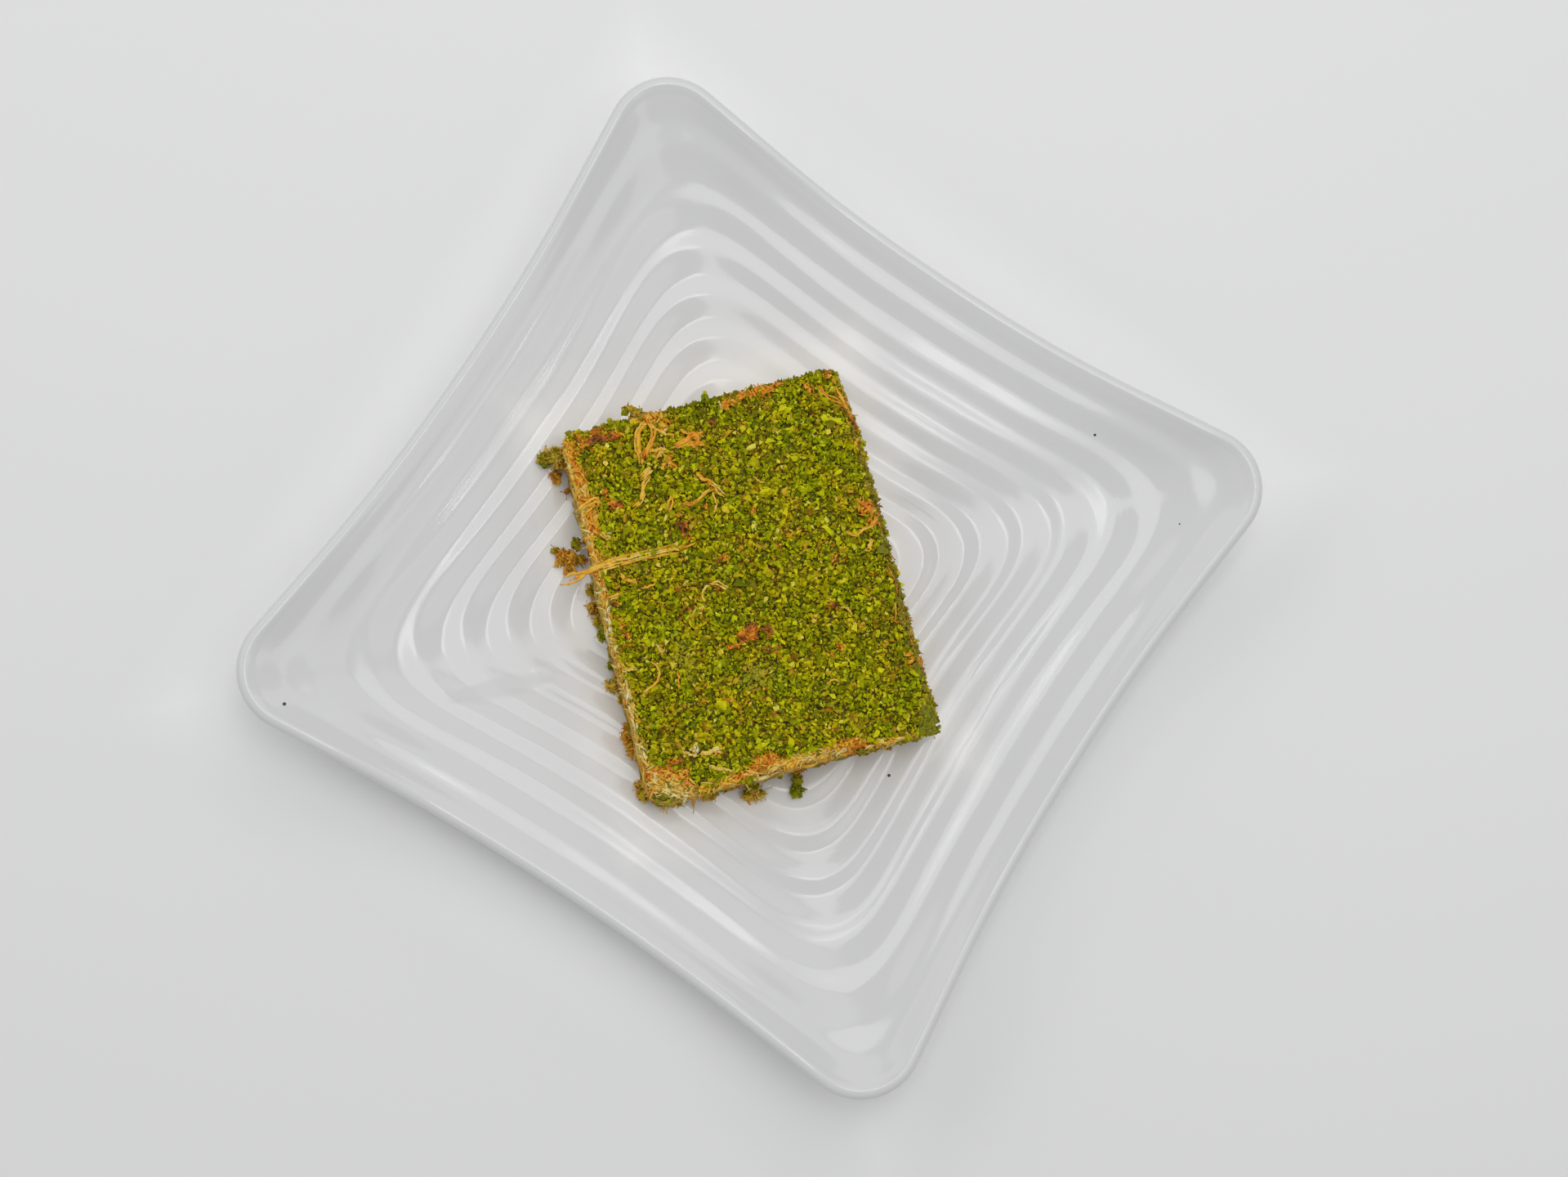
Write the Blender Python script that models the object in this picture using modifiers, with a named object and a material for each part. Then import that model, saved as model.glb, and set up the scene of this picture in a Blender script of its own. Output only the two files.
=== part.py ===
"""Kadaifi: a slice of shredded-pastry sweet under ground pistachio, on its square rippled plate.

Run with: blender --background --python part.py
Metres, +Z up. The origin is on the table under the middle of the plate, whose sides run along X and Y.
"""

import math
import random

import bmesh
import bpy
from mathutils import Matrix, Vector, noise

MM = 0.001

# The plate's outline: four shallow hollow sides that meet in four rounded tips
HALF_SIDE = 87.5 * MM
SIDE_ARC_RADIUS = 700 * MM
TIP_RADIUS = 12.5 * MM

# The plate's section, from its middle out to the lip
WALL = 3.0 * MM
FLOOR_HEIGHT = 4.6 * MM
BOWL_DEPTH = 13.5 * MM
BOWL_POWER = 2.7
SIDE_SINK = 2.2 * MM
TIP_RISE = 6.9 * MM
TIP_RISE_WIDTH = math.radians(16.8)
RISE_FROM = 0.6
LIP_OVERHANG = 2.0 * MM
LIP_DROP = 3.4 * MM
FOOT_INNER = 40.0 * MM
FOOT_OUTER = 46.0 * MM
FOOT_TAPER = 2.0 * MM

# Ripples pressed into the plate, given where they cross the middle of a side
RIPPLE_RADII = [r * MM for r in (80.7, 71.9, 64.1, 58.0, 54.2, 50.6, 46.6, 43.0, 38.5, 35.2, 31.6, 27.0)]
RIPPLE_SLOPE = 0.20
TERRACE_HALF = 0.2
TIP_PULL = 0.055
TIP_PULL_WIDTH = math.radians(8.0)
PLATE_STEPS = 64
TIP_CROWDING = 1.9

# The slice: its middle, its turn on the plate, its size and the height of its top
SLICE_X = -2.0 * MM
SLICE_Y = -3.7 * MM
SLICE_TURN = math.radians(48.1)
SLICE_WIDTH = 70.4 * MM
SLICE_LENGTH = 91.4 * MM
TOP_HEIGHT = 23.0 * MM
TOPPING_THICKNESS = 2.2 * MM
GAP = 0.3 * MM
FLOOR_CLEARANCE = 0.9 * MM
SAG = 0.7 * MM

# Strips of pastry: how thick they are, how long the ones in the cut sides are, and how many there are
STRAND_RADIUS = 0.55 * MM
SIDE_STRANDS = 46
SIDE_STRAND_LENGTH = (6 * MM, 12 * MM)

PISTACHIO = (0.20, 0.19, 0.012)
CRUST = (0.62, 0.30, 0.06)
PORCELAIN_WHITE = (0.78, 0.78, 0.79)
CRUMB_BROWN = (0.24, 0.12, 0.03)


def clear_scene():
    for obj in list(bpy.data.objects):
        bpy.data.objects.remove(obj)


def new_collection(name):
    collection = bpy.data.collections.new(name)
    bpy.context.scene.collection.children.link(collection)
    return collection


def make_material(name, colour, roughness):
    material = bpy.data.materials.new(name)
    material.use_nodes = True
    shader = material.node_tree.nodes["Principled BSDF"]
    shader.inputs["Base Color"].default_value = (*colour, 1.0)
    shader.inputs["Roughness"].default_value = roughness
    shader.inputs["Metallic"].default_value = 0.0
    return material


def object_from_bmesh(bm, name, collection):
    mesh = bpy.data.meshes.new(name)
    bm.to_mesh(mesh)
    bm.free()
    obj = bpy.data.objects.new(name, mesh)
    collection.objects.link(obj)
    return obj


def apply_modifiers(obj):
    """Puts the modifiers' result in the object's own mesh."""
    bpy.context.view_layer.update()
    graph = bpy.context.evaluated_depsgraph_get()
    mesh = bpy.data.meshes.new_from_object(obj.evaluated_get(graph))
    obj.modifiers.clear()
    obj.data = mesh


def smooth_step(value):
    value = min(max(value, 0.0), 1.0)
    return value * value * (3.0 - 2.0 * value)


# The plate


def from_tip(angle):
    """The angle from the nearest tip direction, from -45 to 45 degrees."""
    quarter = math.pi / 2
    return (angle % quarter) - quarter / 2


def outline_radius(angle):
    """How far the rim's crest is from the middle: a hollow arc along the side, a round arc at the tip."""
    side_centre = HALF_SIDE + SIDE_ARC_RADIUS
    reach = SIDE_ARC_RADIUS + TIP_RADIUS
    tip_centre = (side_centre - math.sqrt(2 * reach**2 - side_centre**2)) / 2
    away = abs(from_tip(angle))
    join = math.atan2(
        tip_centre - tip_centre * TIP_RADIUS / reach,
        tip_centre + (side_centre - tip_centre) * TIP_RADIUS / reach,
    )
    if away < math.pi / 4 - join:
        diagonal = tip_centre * math.sqrt(2)
        return diagonal * math.cos(away) + math.sqrt(TIP_RADIUS**2 - (diagonal * math.sin(away)) ** 2)
    off_side = math.pi / 4 - away
    across = side_centre * math.sin(off_side)
    return side_centre * math.cos(off_side) - math.sqrt(SIDE_ARC_RADIUS**2 - across**2)


def ring_radius(share, angle):
    """A ring at this share of the way out. Inner rings are rounder at the tips than the rim."""
    if share > 1.0:
        return outline_radius(angle) + (share - 1.0) * HALF_SIDE
    pull = TIP_PULL * min((1.0 - share) / 0.15, 1.0)
    return share * outline_radius(angle) * (1.0 - pull * math.exp(-((from_tip(angle) / TIP_PULL_WIDTH) ** 2)))


def rim_lift(share, angle):
    """The rim sinks along the sides and rises to the tips."""
    tip = math.exp(-((from_tip(angle) / TIP_RISE_WIDTH) ** 2))
    return smooth_step((share - RISE_FROM) / (1.0 - RISE_FROM)) * (TIP_RISE * tip - SIDE_SINK)


def bowl_height(share):
    return FLOOR_HEIGHT + BOWL_DEPTH * min(share, 1.0) ** BOWL_POWER


def ripple_terraces():
    """(share of the way out, height above the plain bowl) at both edges of each ripple's flat terrace."""
    edges = []
    for i, radius in enumerate(RIPPLE_RADII):
        pitch = radius - RIPPLE_RADII[i + 1] if i + 1 < len(RIPPLE_RADII) else radius / 2
        swing = RIPPLE_SLOPE * pitch * TERRACE_HALF * (1 - 2 * TERRACE_HALF)
        edges.append(((radius + TERRACE_HALF * pitch) / HALF_SIDE, -swing))
        edges.append(((radius - TERRACE_HALF * pitch) / HALF_SIDE, swing))
    return edges


def plate_profile():
    """The section from the middle of the top, out over the rim and back under to the middle of the foot."""
    top = [(0.0, FLOOR_HEIGHT)]
    for share, height in reversed(ripple_terraces()):
        top.append((share * HALF_SIDE, bowl_height(share) + height))
    crest = FLOOR_HEIGHT + BOWL_DEPTH
    top.append((0.975 * HALF_SIDE, bowl_height(0.975)))
    lip = [
        (HALF_SIDE - 0.6 * MM, crest - 0.1 * MM),
        (HALF_SIDE + 0.1 * MM, crest),
        (HALF_SIDE + 0.7 * LIP_OVERHANG, crest - 0.25 * LIP_OVERHANG),
        (HALF_SIDE + LIP_OVERHANG, crest - 0.5 * LIP_DROP),
        (HALF_SIDE + 0.6 * LIP_OVERHANG, crest - LIP_DROP),
    ]
    under = [(share * HALF_SIDE, bowl_height(share) - WALL) for share in (0.95, 0.86, 0.76, 0.66, 0.58)]
    foot = [
        (FOOT_OUTER + FOOT_TAPER / 2, bowl_height(0.55) - WALL),
        (FOOT_OUTER, 0.0),
        (FOOT_INNER, 0.0),
        (FOOT_INNER - FOOT_TAPER / 2, bowl_height(0.45) - WALL),
        (0.0, FLOOR_HEIGHT - WALL),
    ]
    return top + lip + under + foot


def crowd_to_tip(angle):
    """Moves an angle towards the nearest tip, so that more of the steps fall on the tight curve."""
    away = from_tip(angle)
    moved = math.copysign((math.pi / 4) * (abs(away) / (math.pi / 4)) ** TIP_CROWDING, away)
    return angle - away + moved


def make_plate(collection, material):
    """A turned section, then each point moved out to the square outline and up to the rim's rise."""
    bm = bmesh.new()
    points = [bm.verts.new((x, 0.0, z)) for x, z in plate_profile()]
    for start, end in zip(points, points[1:]):
        bm.edges.new((start, end))
    plate = object_from_bmesh(bm, "plate", collection)
    screw = plate.modifiers.new("turn", "SCREW")
    screw.axis = "Z"
    screw.steps = PLATE_STEPS
    screw.render_steps = PLATE_STEPS
    screw.use_merge_vertices = True
    screw.merge_threshold = 0.00001
    apply_modifiers(plate)
    for vertex in plate.data.vertices:
        share = math.hypot(vertex.co.x, vertex.co.y) / HALF_SIDE
        angle = crowd_to_tip(math.atan2(vertex.co.y, vertex.co.x))
        radius = ring_radius(share, angle)
        height = vertex.co.z
        if height > 0.1 * MM:
            height += rim_lift(share, angle)
        vertex.co = (radius * math.cos(angle), radius * math.sin(angle), height)
    plate.data.shade_smooth()
    plate.data.set_sharp_from_angle(angle=math.radians(40))
    plate.data.materials.append(material)
    return plate


def plate_height(x, y):
    """The height of the plain bowl under a point of the plate."""
    angle = math.atan2(y, x)
    distance = math.hypot(x, y)
    share = distance / outline_radius(angle)
    for _ in range(4):
        share *= distance / max(ring_radius(share, angle), 1e-9)
    return bowl_height(share) + rim_lift(share, angle)


# The slice, modelled about its own middle and then turned onto the plate


def slice_to_plate(x, y):
    cos, sin = math.cos(SLICE_TURN), math.sin(SLICE_TURN)
    return SLICE_X + x * cos - y * sin, SLICE_Y + x * sin + y * cos


def floor_under(x, y):
    """The height at which something at this place of the slice rests, clear of the ripples."""
    return plate_height(*slice_to_plate(x, y)) + FLOOR_CLEARANCE


def place_on_plate(obj):
    obj.data.transform(Matrix.Translation((SLICE_X, SLICE_Y, 0)) @ Matrix.Rotation(SLICE_TURN, 4, "Z"))


def cut_block(low, high, cuts):
    """A box cut across into the given number of layers along each axis."""
    bm = bmesh.new()
    bmesh.ops.create_cube(bm, size=1.0)
    low, high = Vector(low), Vector(high)
    for vertex in bm.verts:
        vertex.co = [low[i] + (vertex.co[i] + 0.5) * (high[i] - low[i]) for i in range(3)]
    for axis, count in enumerate(cuts):
        normal = [float(i == axis) for i in range(3)]
        for step in range(1, count):
            point = low.copy()
            point[axis] += (high[axis] - low[axis]) * step / count
            geometry = bm.verts[:] + bm.edges[:] + bm.faces[:]
            bmesh.ops.bisect_plane(bm, geom=geometry, plane_co=point, plane_no=normal)
    return bm


def flatten_side(bm, direction):
    """Makes the flat side that faces this way one face."""
    faces = [face for face in bm.faces if face.normal.dot(Vector(direction)) > 0.99]
    bmesh.ops.dissolve_faces(bm, faces=faces)


def strand(points, radius, collection, sides=4):
    """A strip of pastry along these points, as a closed mesh tube."""
    curve = bpy.data.curves.new("strand", "CURVE")
    curve.dimensions = "3D"
    curve.bevel_depth = radius
    curve.bevel_resolution = (sides - 4) // 2
    curve.use_fill_caps = True
    spline = curve.splines.new("POLY")
    spline.points.add(len(points) - 1)
    for i, point in enumerate(points):
        spline.points[i].co = (*point, 1.0)
        spline.points[i].radius = 0.72 + 0.28 * math.sin(math.pi * (i + 0.4) / (len(points) - 0.2))
    guide = bpy.data.objects.new("strand_guide", curve)
    collection.objects.link(guide)
    bpy.context.view_layer.update()
    graph = bpy.context.evaluated_depsgraph_get()
    mesh = bpy.data.meshes.new_from_object(guide.evaluated_get(graph))
    bpy.data.objects.remove(guide)
    bm = bmesh.new()
    bm.from_mesh(mesh)
    bmesh.ops.remove_doubles(bm, verts=bm.verts, dist=0.00001)
    bmesh.ops.recalc_face_normals(bm, faces=bm.faces)
    return object_from_bmesh(bm, "strand", collection)


def lump(centre, size, seed, collection, detail=2):
    """A knobbly crumb."""
    bm = bmesh.new()
    bmesh.ops.create_icosphere(bm, subdivisions=detail, radius=1.0)
    shift = Vector((seed * 3.7, seed * 1.3, seed * 7.1))
    for vertex in bm.verts:
        swell = 1.0 + 0.42 * noise.noise(vertex.co * 1.6 + shift)
        vertex.co = [centre[i] + vertex.co[i] * swell * size[i] for i in range(3)]
    return object_from_bmesh(bm, "lump", collection)


def join_by_union(obj, additions, name):
    """One Boolean union of the object with all that is in the collection, which is then removed."""
    union = obj.modifiers.new("join", "BOOLEAN")
    union.operation = "UNION"
    union.operand_type = "COLLECTION"
    union.collection = additions
    union.solver = "MANIFOLD"
    apply_modifiers(obj)
    for extra in list(additions.objects):
        bpy.data.objects.remove(extra)
    bpy.data.collections.remove(additions)
    keep_largest_shell(obj)
    obj.name = name


def keep_largest_shell(obj):
    """Drops loose scraps, and the inner walls of any hollow that joining sealed."""
    bm = bmesh.new()
    bm.from_mesh(obj.data)
    bm.verts.ensure_lookup_table()
    seen, shells = set(), []
    for start in bm.verts:
        if start in seen:
            continue
        shell, waiting = [], [start]
        seen.add(start)
        while waiting:
            vertex = waiting.pop()
            shell.append(vertex)
            for edge in vertex.link_edges:
                other = edge.other_vert(vertex)
                if other not in seen:
                    seen.add(other)
                    waiting.append(other)
        shells.append(shell)
    shells.sort(key=len)
    for shell in shells[:-1]:
        bmesh.ops.delete(bm, geom=shell, context="VERTS")
    bm.to_mesh(obj.data)
    bm.free()


def wobble(x, y, scale, seed):
    """A smooth uneven value from -1 to 1."""
    return noise.noise(Vector((x / scale, y / scale, seed)))


def top_sag(x, y):
    """How far the top dips between its edges."""
    return SAG * (1 - (2 * x / SLICE_WIDTH) ** 2) * (1 - (2 * y / SLICE_LENGTH) ** 2)


def rough_edge(x, y, low, high, seed):
    """Pushes a point of a slab's cut side in or out, and rounds the slab's four corners."""
    half_x, half_y = high[0], high[1]
    away = Vector((x, y))
    if abs(abs(x) - half_x) < 0.01 * MM:
        away.x += math.copysign(0.7 * MM * wobble(y, low[2], 5 * MM, seed), x)
    if abs(abs(y) - half_y) < 0.01 * MM:
        away.y += math.copysign(0.7 * MM * wobble(x, low[2], 5 * MM, seed + 9), y)
    corner_x = max(abs(x) - (half_x - 4 * MM), 0.0)
    corner_y = max(abs(y) - (half_y - 4 * MM), 0.0)
    if corner_x and corner_y:
        trim = 0.32 * min(corner_x, corner_y)
        away.x -= math.copysign(trim, x)
        away.y -= math.copysign(trim, y)
    return away


def pastry_top():
    return TOP_HEIGHT - TOPPING_THICKNESS - GAP


def side_point(along, height, out):
    """A point on the cut side: how far round the slice it is, its height, and how far it stands out."""
    half_x, half_y = SLICE_WIDTH / 2, SLICE_LENGTH / 2
    along %= 2 * (SLICE_WIDTH + SLICE_LENGTH)
    if along < SLICE_LENGTH:
        return Vector((-half_x - out, half_y - along, height))
    along -= SLICE_LENGTH
    if along < SLICE_WIDTH:
        return Vector((-half_x + along, -half_y - out, height))
    along -= SLICE_WIDTH
    if along < SLICE_LENGTH:
        return Vector((half_x + out, -half_y + along, height))
    along -= SLICE_LENGTH
    return Vector((half_x - along, half_y + out, height))


def side_strands(collection):
    """Strips that show in the four cut sides, at all heights, most of them nearly level."""
    rng = random.Random(5)
    perimeter = 2 * (SLICE_WIDTH + SLICE_LENGTH)
    for i in range(SIDE_STRANDS):
        length = rng.uniform(*SIDE_STRAND_LENGTH)
        start = perimeter * (i + rng.uniform(0.1, 0.9)) / SIDE_STRANDS
        tilt = rng.uniform(-0.30, 0.30)
        radius = STRAND_RADIUS * rng.uniform(0.85, 1.15)
        middle = side_point(start + length / 2, 0, 0)
        low = floor_under(middle.x, middle.y) + radius
        high = pastry_top() - radius - 0.5 * MM
        height = low + (high - low) * ((i * 0.618 + rng.uniform(0, 0.1)) % 1.0)
        bow = rng.uniform(0.2, 0.5) * MM
        points = []
        for step in range(4):
            t = step / 3
            level = min(max(height + tilt * length * (t - 0.5), low), high)
            points.append(side_point(start + length * t, level, bow * math.sin(math.pi * t) - 0.15 * MM))
        strand(points, radius, collection)


def crust_lumps(collection):
    """Toasted crumbly pieces that stand out at the foot of the slice: (x, y, half sizes)."""
    places = (
        (-37.0, 41.6, 3.2, 2.6, 2.2),
        (-35.2, 39.0, 2.0, 3.0, 2.6),
        (-36.0, 4.6, 1.8, 1.8, 1.6),
        (-36.4, -16.2, 1.9, 1.5, 1.6),
        (-35.4, -29.0, 1.7, 4.6, 2.4),
        (-35.0, -42.6, 2.6, 3.2, 2.8),
        (-19.8, -45.9, 3.0, 1.7, 1.8),
        (25.6, -45.7, 1.4, 1.4, 1.4),
    )
    for seed, (x, y, half_x, half_y, half_z) in enumerate(places):
        size = Vector((half_x, half_y, half_z)) * MM
        height = floor_under(x * MM, y * MM) + 1.45 * size.z
        lump((x * MM, y * MM, height), size, seed, collection, detail=1 if half_y < 3.1 else 2)


def make_pastry(collection, material):
    """The shredded pastry: a soft slab that has settled into the bowl, with strips and crust in its sides."""
    low = (-SLICE_WIDTH / 2, -SLICE_LENGTH / 2, 0.0)
    high = (SLICE_WIDTH / 2, SLICE_LENGTH / 2, 1.0)
    bm = cut_block(low, high, (12, 16, 3))
    flatten_side(bm, (0, 0, 1))
    for vertex in bm.verts:
        x, y, level = vertex.co
        away = rough_edge(x, y, (0, 0, 5 * MM * level), high, 3.0)
        bottom = floor_under(x, y)
        vertex.co = (away.x, away.y, bottom + (pastry_top() - bottom) * level)
    pastry = object_from_bmesh(bm, "shredded_pastry", collection)
    additions = new_collection("pastry_additions")
    side_strands(additions)
    crust_lumps(additions)
    join_by_union(pastry, additions, "shredded_pastry")
    place_on_plate(pastry)
    pastry.data.materials.append(material)
    return pastry


# Loose strips on the topping, as paths across the slice in millimetres from its middle
TOP_STRANDS = (
    ((-13.5, 44.0), (-16.4, 42.0), (-17.2, 38.4), (-17.0, 34.2)),
    ((-13.3, 44.0), (-12.5, 41.4), (-13.6, 38.2), (-16.9, 34.8)),
    ((-13.4, 43.0), (-11.2, 40.6), (-9.2, 39.4), (-8.2, 37.6)),
    ((-8.4, 36.2), (-5.4, 37.6), (-3.0, 38.8), (-2.4, 36.0)),
    ((-13.4, 38.0), (-11.4, 36.8), (-12.6, 34.6)),
    ((-10.4, 34.6), (-10.6, 32.8), (-10.2, 31.4)),
    ((-15.2, 32.4), (-18.0, 30.8), (-19.2, 27.0), (-21.6, 24.8)),
    ((-4.8, 29.0), (-2.6, 26.4), (-2.4, 24.0), (0.2, 22.4)),
    ((-2.4, 24.0), (-5.8, 22.6), (-10.0, 21.8)),
    ((-2.2, 23.4), (-2.4, 20.6), (-4.0, 17.8)),
    ((-12.8, 24.6), (-14.6, 21.0)),
    ((-29.4, 8.6), (-26.8, 6.4), (-23.8, 5.0), (-21.0, 5.4)),
    ((29.6, 42.0), (31.4, 38.4), (34.0, 34.4), (35.6, 30.6)),
    ((32.8, 40.6), (34.2, 37.2), (35.4, 33.2)),
    ((30.6, 12.6), (32.6, 10.8), (34.0, 8.8)),
    ((26.6, 5.4), (29.6, 5.4), (32.8, 6.4), (34.6, 8.4)),
    ((33.0, -4.4), (34.2, -9.4), (33.8, -13.6), (32.0, -17.4)),
    ((-27.0, -13.0), (-26.0, -15.4), (-28.0, -18.0), (-31.0, -19.0)),
    ((-20.0, -40.4), (-17.6, -41.8), (-15.2, -42.8)),
)

# The long flat strip that forks past the left edge
LONG_STRAND = ((-33.0, 12.8), (-28.0, 13.5), (-20.0, 12.8), (-13.0, 12.3), (-10.4, 12.5))
FORK_TINES = (
    ((-30.0, 13.1), (-34.6, 12.7), (-38.4, 12.5), (-42.4, 12.7)),
    ((-30.0, 12.8), (-35.2, 11.9), (-39.8, 10.6), (-43.4, 11.0)),
)


def fine_path(path, lift, droop=0.0):
    """The path in metres with a point between each two, lying on the topping and arched a little over it."""
    points = []
    count = 2 * (len(path) - 1)
    for i in range(count + 1):
        start = path[i // 2]
        end = path[min(i // 2 + i % 2, len(path) - 1)]
        x = (start[0] + end[0]) / 2 * MM
        y = (start[1] + end[1]) / 2 * MM
        arch = 0.5 * MM * math.sin(math.pi * i / count)
        fall = droop * (i / count) ** 2
        points.append((x, y, TOP_HEIGHT - top_sag(x, y) + lift + arch - fall))
    return points


def topping_strands(collection):
    for i, path in enumerate(TOP_STRANDS):
        radius = STRAND_RADIUS * (0.9, 1.05, 0.8)[i % 3]
        strand(fine_path(path, 0.0), radius, collection)
    strand(fine_path(LONG_STRAND, 0.2 * MM), 1.3 * STRAND_RADIUS, collection)
    for tine in FORK_TINES:
        strand(fine_path(tine, 0.2 * MM, droop=1.2 * MM), STRAND_RADIUS, collection)


def topping_reach(x, y):
    """Where the crumbs stop: short of the left and front edges, over the right one, and off the front left corner."""
    left = 0.035 * SLICE_WIDTH * max(-x, 0.0) / (SLICE_WIDTH / 2)
    front = 0.022 * SLICE_LENGTH * max(-y, 0.0) / (SLICE_LENGTH / 2)
    front *= 1.0 - 0.9 * smooth_step((x - 8 * MM) / (14 * MM))
    x += left
    y += front
    corner_line = -x - y - 67 * MM
    if corner_line > 0:
        x += corner_line / 2
        y += corner_line / 2
    return x, y


def make_topping(collection, material):
    """The ground pistachio: one layer whose top is all bumps of a crumb's size, with loose strips lying on it."""
    rng = random.Random(11)
    half_x, half_y = SLICE_WIDTH / 2, SLICE_LENGTH / 2
    bottom = TOP_HEIGHT - TOPPING_THICKNESS
    bm = cut_block((-half_x, -half_y, 0.0), (half_x, half_y, 1.0), (30, 39, 1))
    flatten_side(bm, (0, 0, -1))
    for vertex in bm.verts:
        x, y, level = vertex.co
        away = rough_edge(x, y, (0, 0, level * 4 * MM), (half_x, half_y, 1.0), 7.0)
        inner = abs(x) < half_x - 0.1 * MM and abs(y) < half_y - 0.1 * MM
        bump = rng.uniform(-0.45, 0.45) * MM
        shift_x = rng.uniform(-0.35, 0.35) * MM
        shift_y = rng.uniform(-0.35, 0.35) * MM
        height = bottom
        if level > 0.5:
            height = TOP_HEIGHT - top_sag(x, y) + bump - (0.0 if inner else 0.5 * MM)
            if inner:
                away += Vector((shift_x, shift_y))
        reach_x, reach_y = topping_reach(away.x, away.y)
        vertex.co = (reach_x, reach_y, height)
    topping = object_from_bmesh(bm, "pistachio_topping", collection)
    additions = new_collection("topping_additions")
    topping_strands(additions)
    lump((-17.0 * MM, 46.0 * MM, TOP_HEIGHT - 0.6 * MM), Vector((2.4, 1.5, 0.9)) * MM, 21, additions)
    join_by_union(topping, additions, "pistachio_topping")
    place_on_plate(topping)
    topping.data.materials.append(material)
    return topping


# Crumbs that fell on the plate, as overlapping lumps: (x, y, half sizes), in millimetres from the slice's middle
FALLEN_CRUMBS = {
    "fallen_crumb_left": ((-39.9, 19.0, 2.6, 2.2, 1.5), (-42.0, 20.6, 1.7, 1.5, 1.2), (-38.6, 21.8, 1.2, 2.4, 1.2)),
    "fallen_crumb_front": ((-10.6, -49.2, 1.9, 1.5, 1.1), (-10.8, -50.6, 2.1, 1.4, 1.2)),
    "fallen_crumb_green": ((0.4, -50.2, 1.6, 1.5, 1.2), (-0.4, -52.2, 1.5, 1.4, 1.2)),
}


def make_fallen_crumb(name, parts, collection, material):
    x, y, half_x, half_y, half_z = parts[0]
    rest = max(floor_under(px * MM, py * MM) for px, py, *_ in parts)
    additions = new_collection(name + "_additions")
    crumb = None
    for seed, (x, y, half_x, half_y, half_z) in enumerate(parts):
        size = Vector((half_x, half_y, half_z)) * MM
        centre = (x * MM, y * MM, rest + 1.3 * size.z)
        piece = lump(centre, size, 31 + seed + len(name), collection if crumb is None else additions)
        crumb = crumb or piece
    join_by_union(crumb, additions, name)
    place_on_plate(crumb)
    crumb.data.materials.append(material)
    return crumb


def main():
    clear_scene()
    kadaifi = new_collection("kadaifi")
    white = make_material("plate_white", PORCELAIN_WHITE, 0.18)
    green = make_material("ground_pistachio", PISTACHIO, 0.7)
    golden = make_material("baked_pastry", CRUST, 0.5)
    brown = make_material("fallen_crumbs", CRUMB_BROWN, 0.7)
    make_plate(kadaifi, white)
    make_pastry(kadaifi, golden)
    make_topping(kadaifi, green)
    for name, parts in FALLEN_CRUMBS.items():
        make_fallen_crumb(name, parts, kadaifi, green if name.endswith("green") else brown)


main()
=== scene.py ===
"""A slice of kadaifi on its square rippled plate: the looks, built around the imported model.

Metres, +Z up. The slice is modelled about its own middle, with x to the right and y up as the camera sees
it, and each of its pieces is then laid on the plate.
"""

import math

import bpy
import numpy as np
from mathutils import Matrix, Vector


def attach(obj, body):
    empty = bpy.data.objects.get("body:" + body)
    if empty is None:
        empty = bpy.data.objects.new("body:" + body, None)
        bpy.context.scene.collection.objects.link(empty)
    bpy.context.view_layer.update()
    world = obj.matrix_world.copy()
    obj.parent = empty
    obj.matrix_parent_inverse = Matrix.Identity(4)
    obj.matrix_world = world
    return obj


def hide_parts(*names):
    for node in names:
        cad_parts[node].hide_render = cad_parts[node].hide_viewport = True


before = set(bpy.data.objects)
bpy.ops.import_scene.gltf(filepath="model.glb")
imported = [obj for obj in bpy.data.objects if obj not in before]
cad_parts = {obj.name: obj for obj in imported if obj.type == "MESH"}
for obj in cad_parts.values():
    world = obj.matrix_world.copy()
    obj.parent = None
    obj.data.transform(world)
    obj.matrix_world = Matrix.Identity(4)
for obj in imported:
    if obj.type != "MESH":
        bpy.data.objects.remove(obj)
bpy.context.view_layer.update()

MM = 0.001
QUARTER = math.pi / 2

# The plate's outline and section
HALF_SIDE = 87.5 * MM
SIDE_ARC_RADIUS = 700 * MM
TIP_RADIUS = 12.5 * MM
WALL = 3.0 * MM
FLOOR_HEIGHT = 4.6 * MM
BOWL_DEPTH = 13.5 * MM
BOWL_POWER = 2.7
SIDE_SINK = 2.2 * MM
TIP_RISE = 6.9 * MM
TIP_RISE_WIDTH = math.radians(16.8)
# By share of the way out: where the rim's rise starts, where the rings have their outer rounding, and over
# how much of the way further in they come to their inner one
RISE_FROM = 0.6
ROUND_FROM = 0.85
ROUND_OVER = 0.45
OUTER_ROUNDING = math.radians(5.0)
INNER_ROUNDING = math.radians(9.0)
LIP_RADIUS = 1.9 * MM
LIP_START = HALF_SIDE - 0.63 * MM
FOOT_INNER = 40.0 * MM
FOOT_OUTER = 46.0 * MM
FOOT_HEIGHT = 0.9 * MM
PLATE_STEPS = 336
TIP_CROWDING = 1.9

# The pressed ripples, in millimetres where they cross the middle of a side: those near the rim, those
# round the slice and those under it
WIDE_RIPPLES = (80.7, 71.9, 64.1)
CLOSE_RIPPLES = (56.3, 48.8, 41.0, 33.4)
COVERED_RIPPLES = (25.8, 18.2, 10.6)
ALL_RIPPLES = sorted(WIDE_RIPPLES + CLOSE_RIPPLES + COVERED_RIPPLES)
LAST_GAP = 8.8 * MM
# Each terrace's half width and the softness of its edges, as shares of the pitch
TERRACE_HALF = 0.2
TERRACE_EDGE = 0.11
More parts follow.
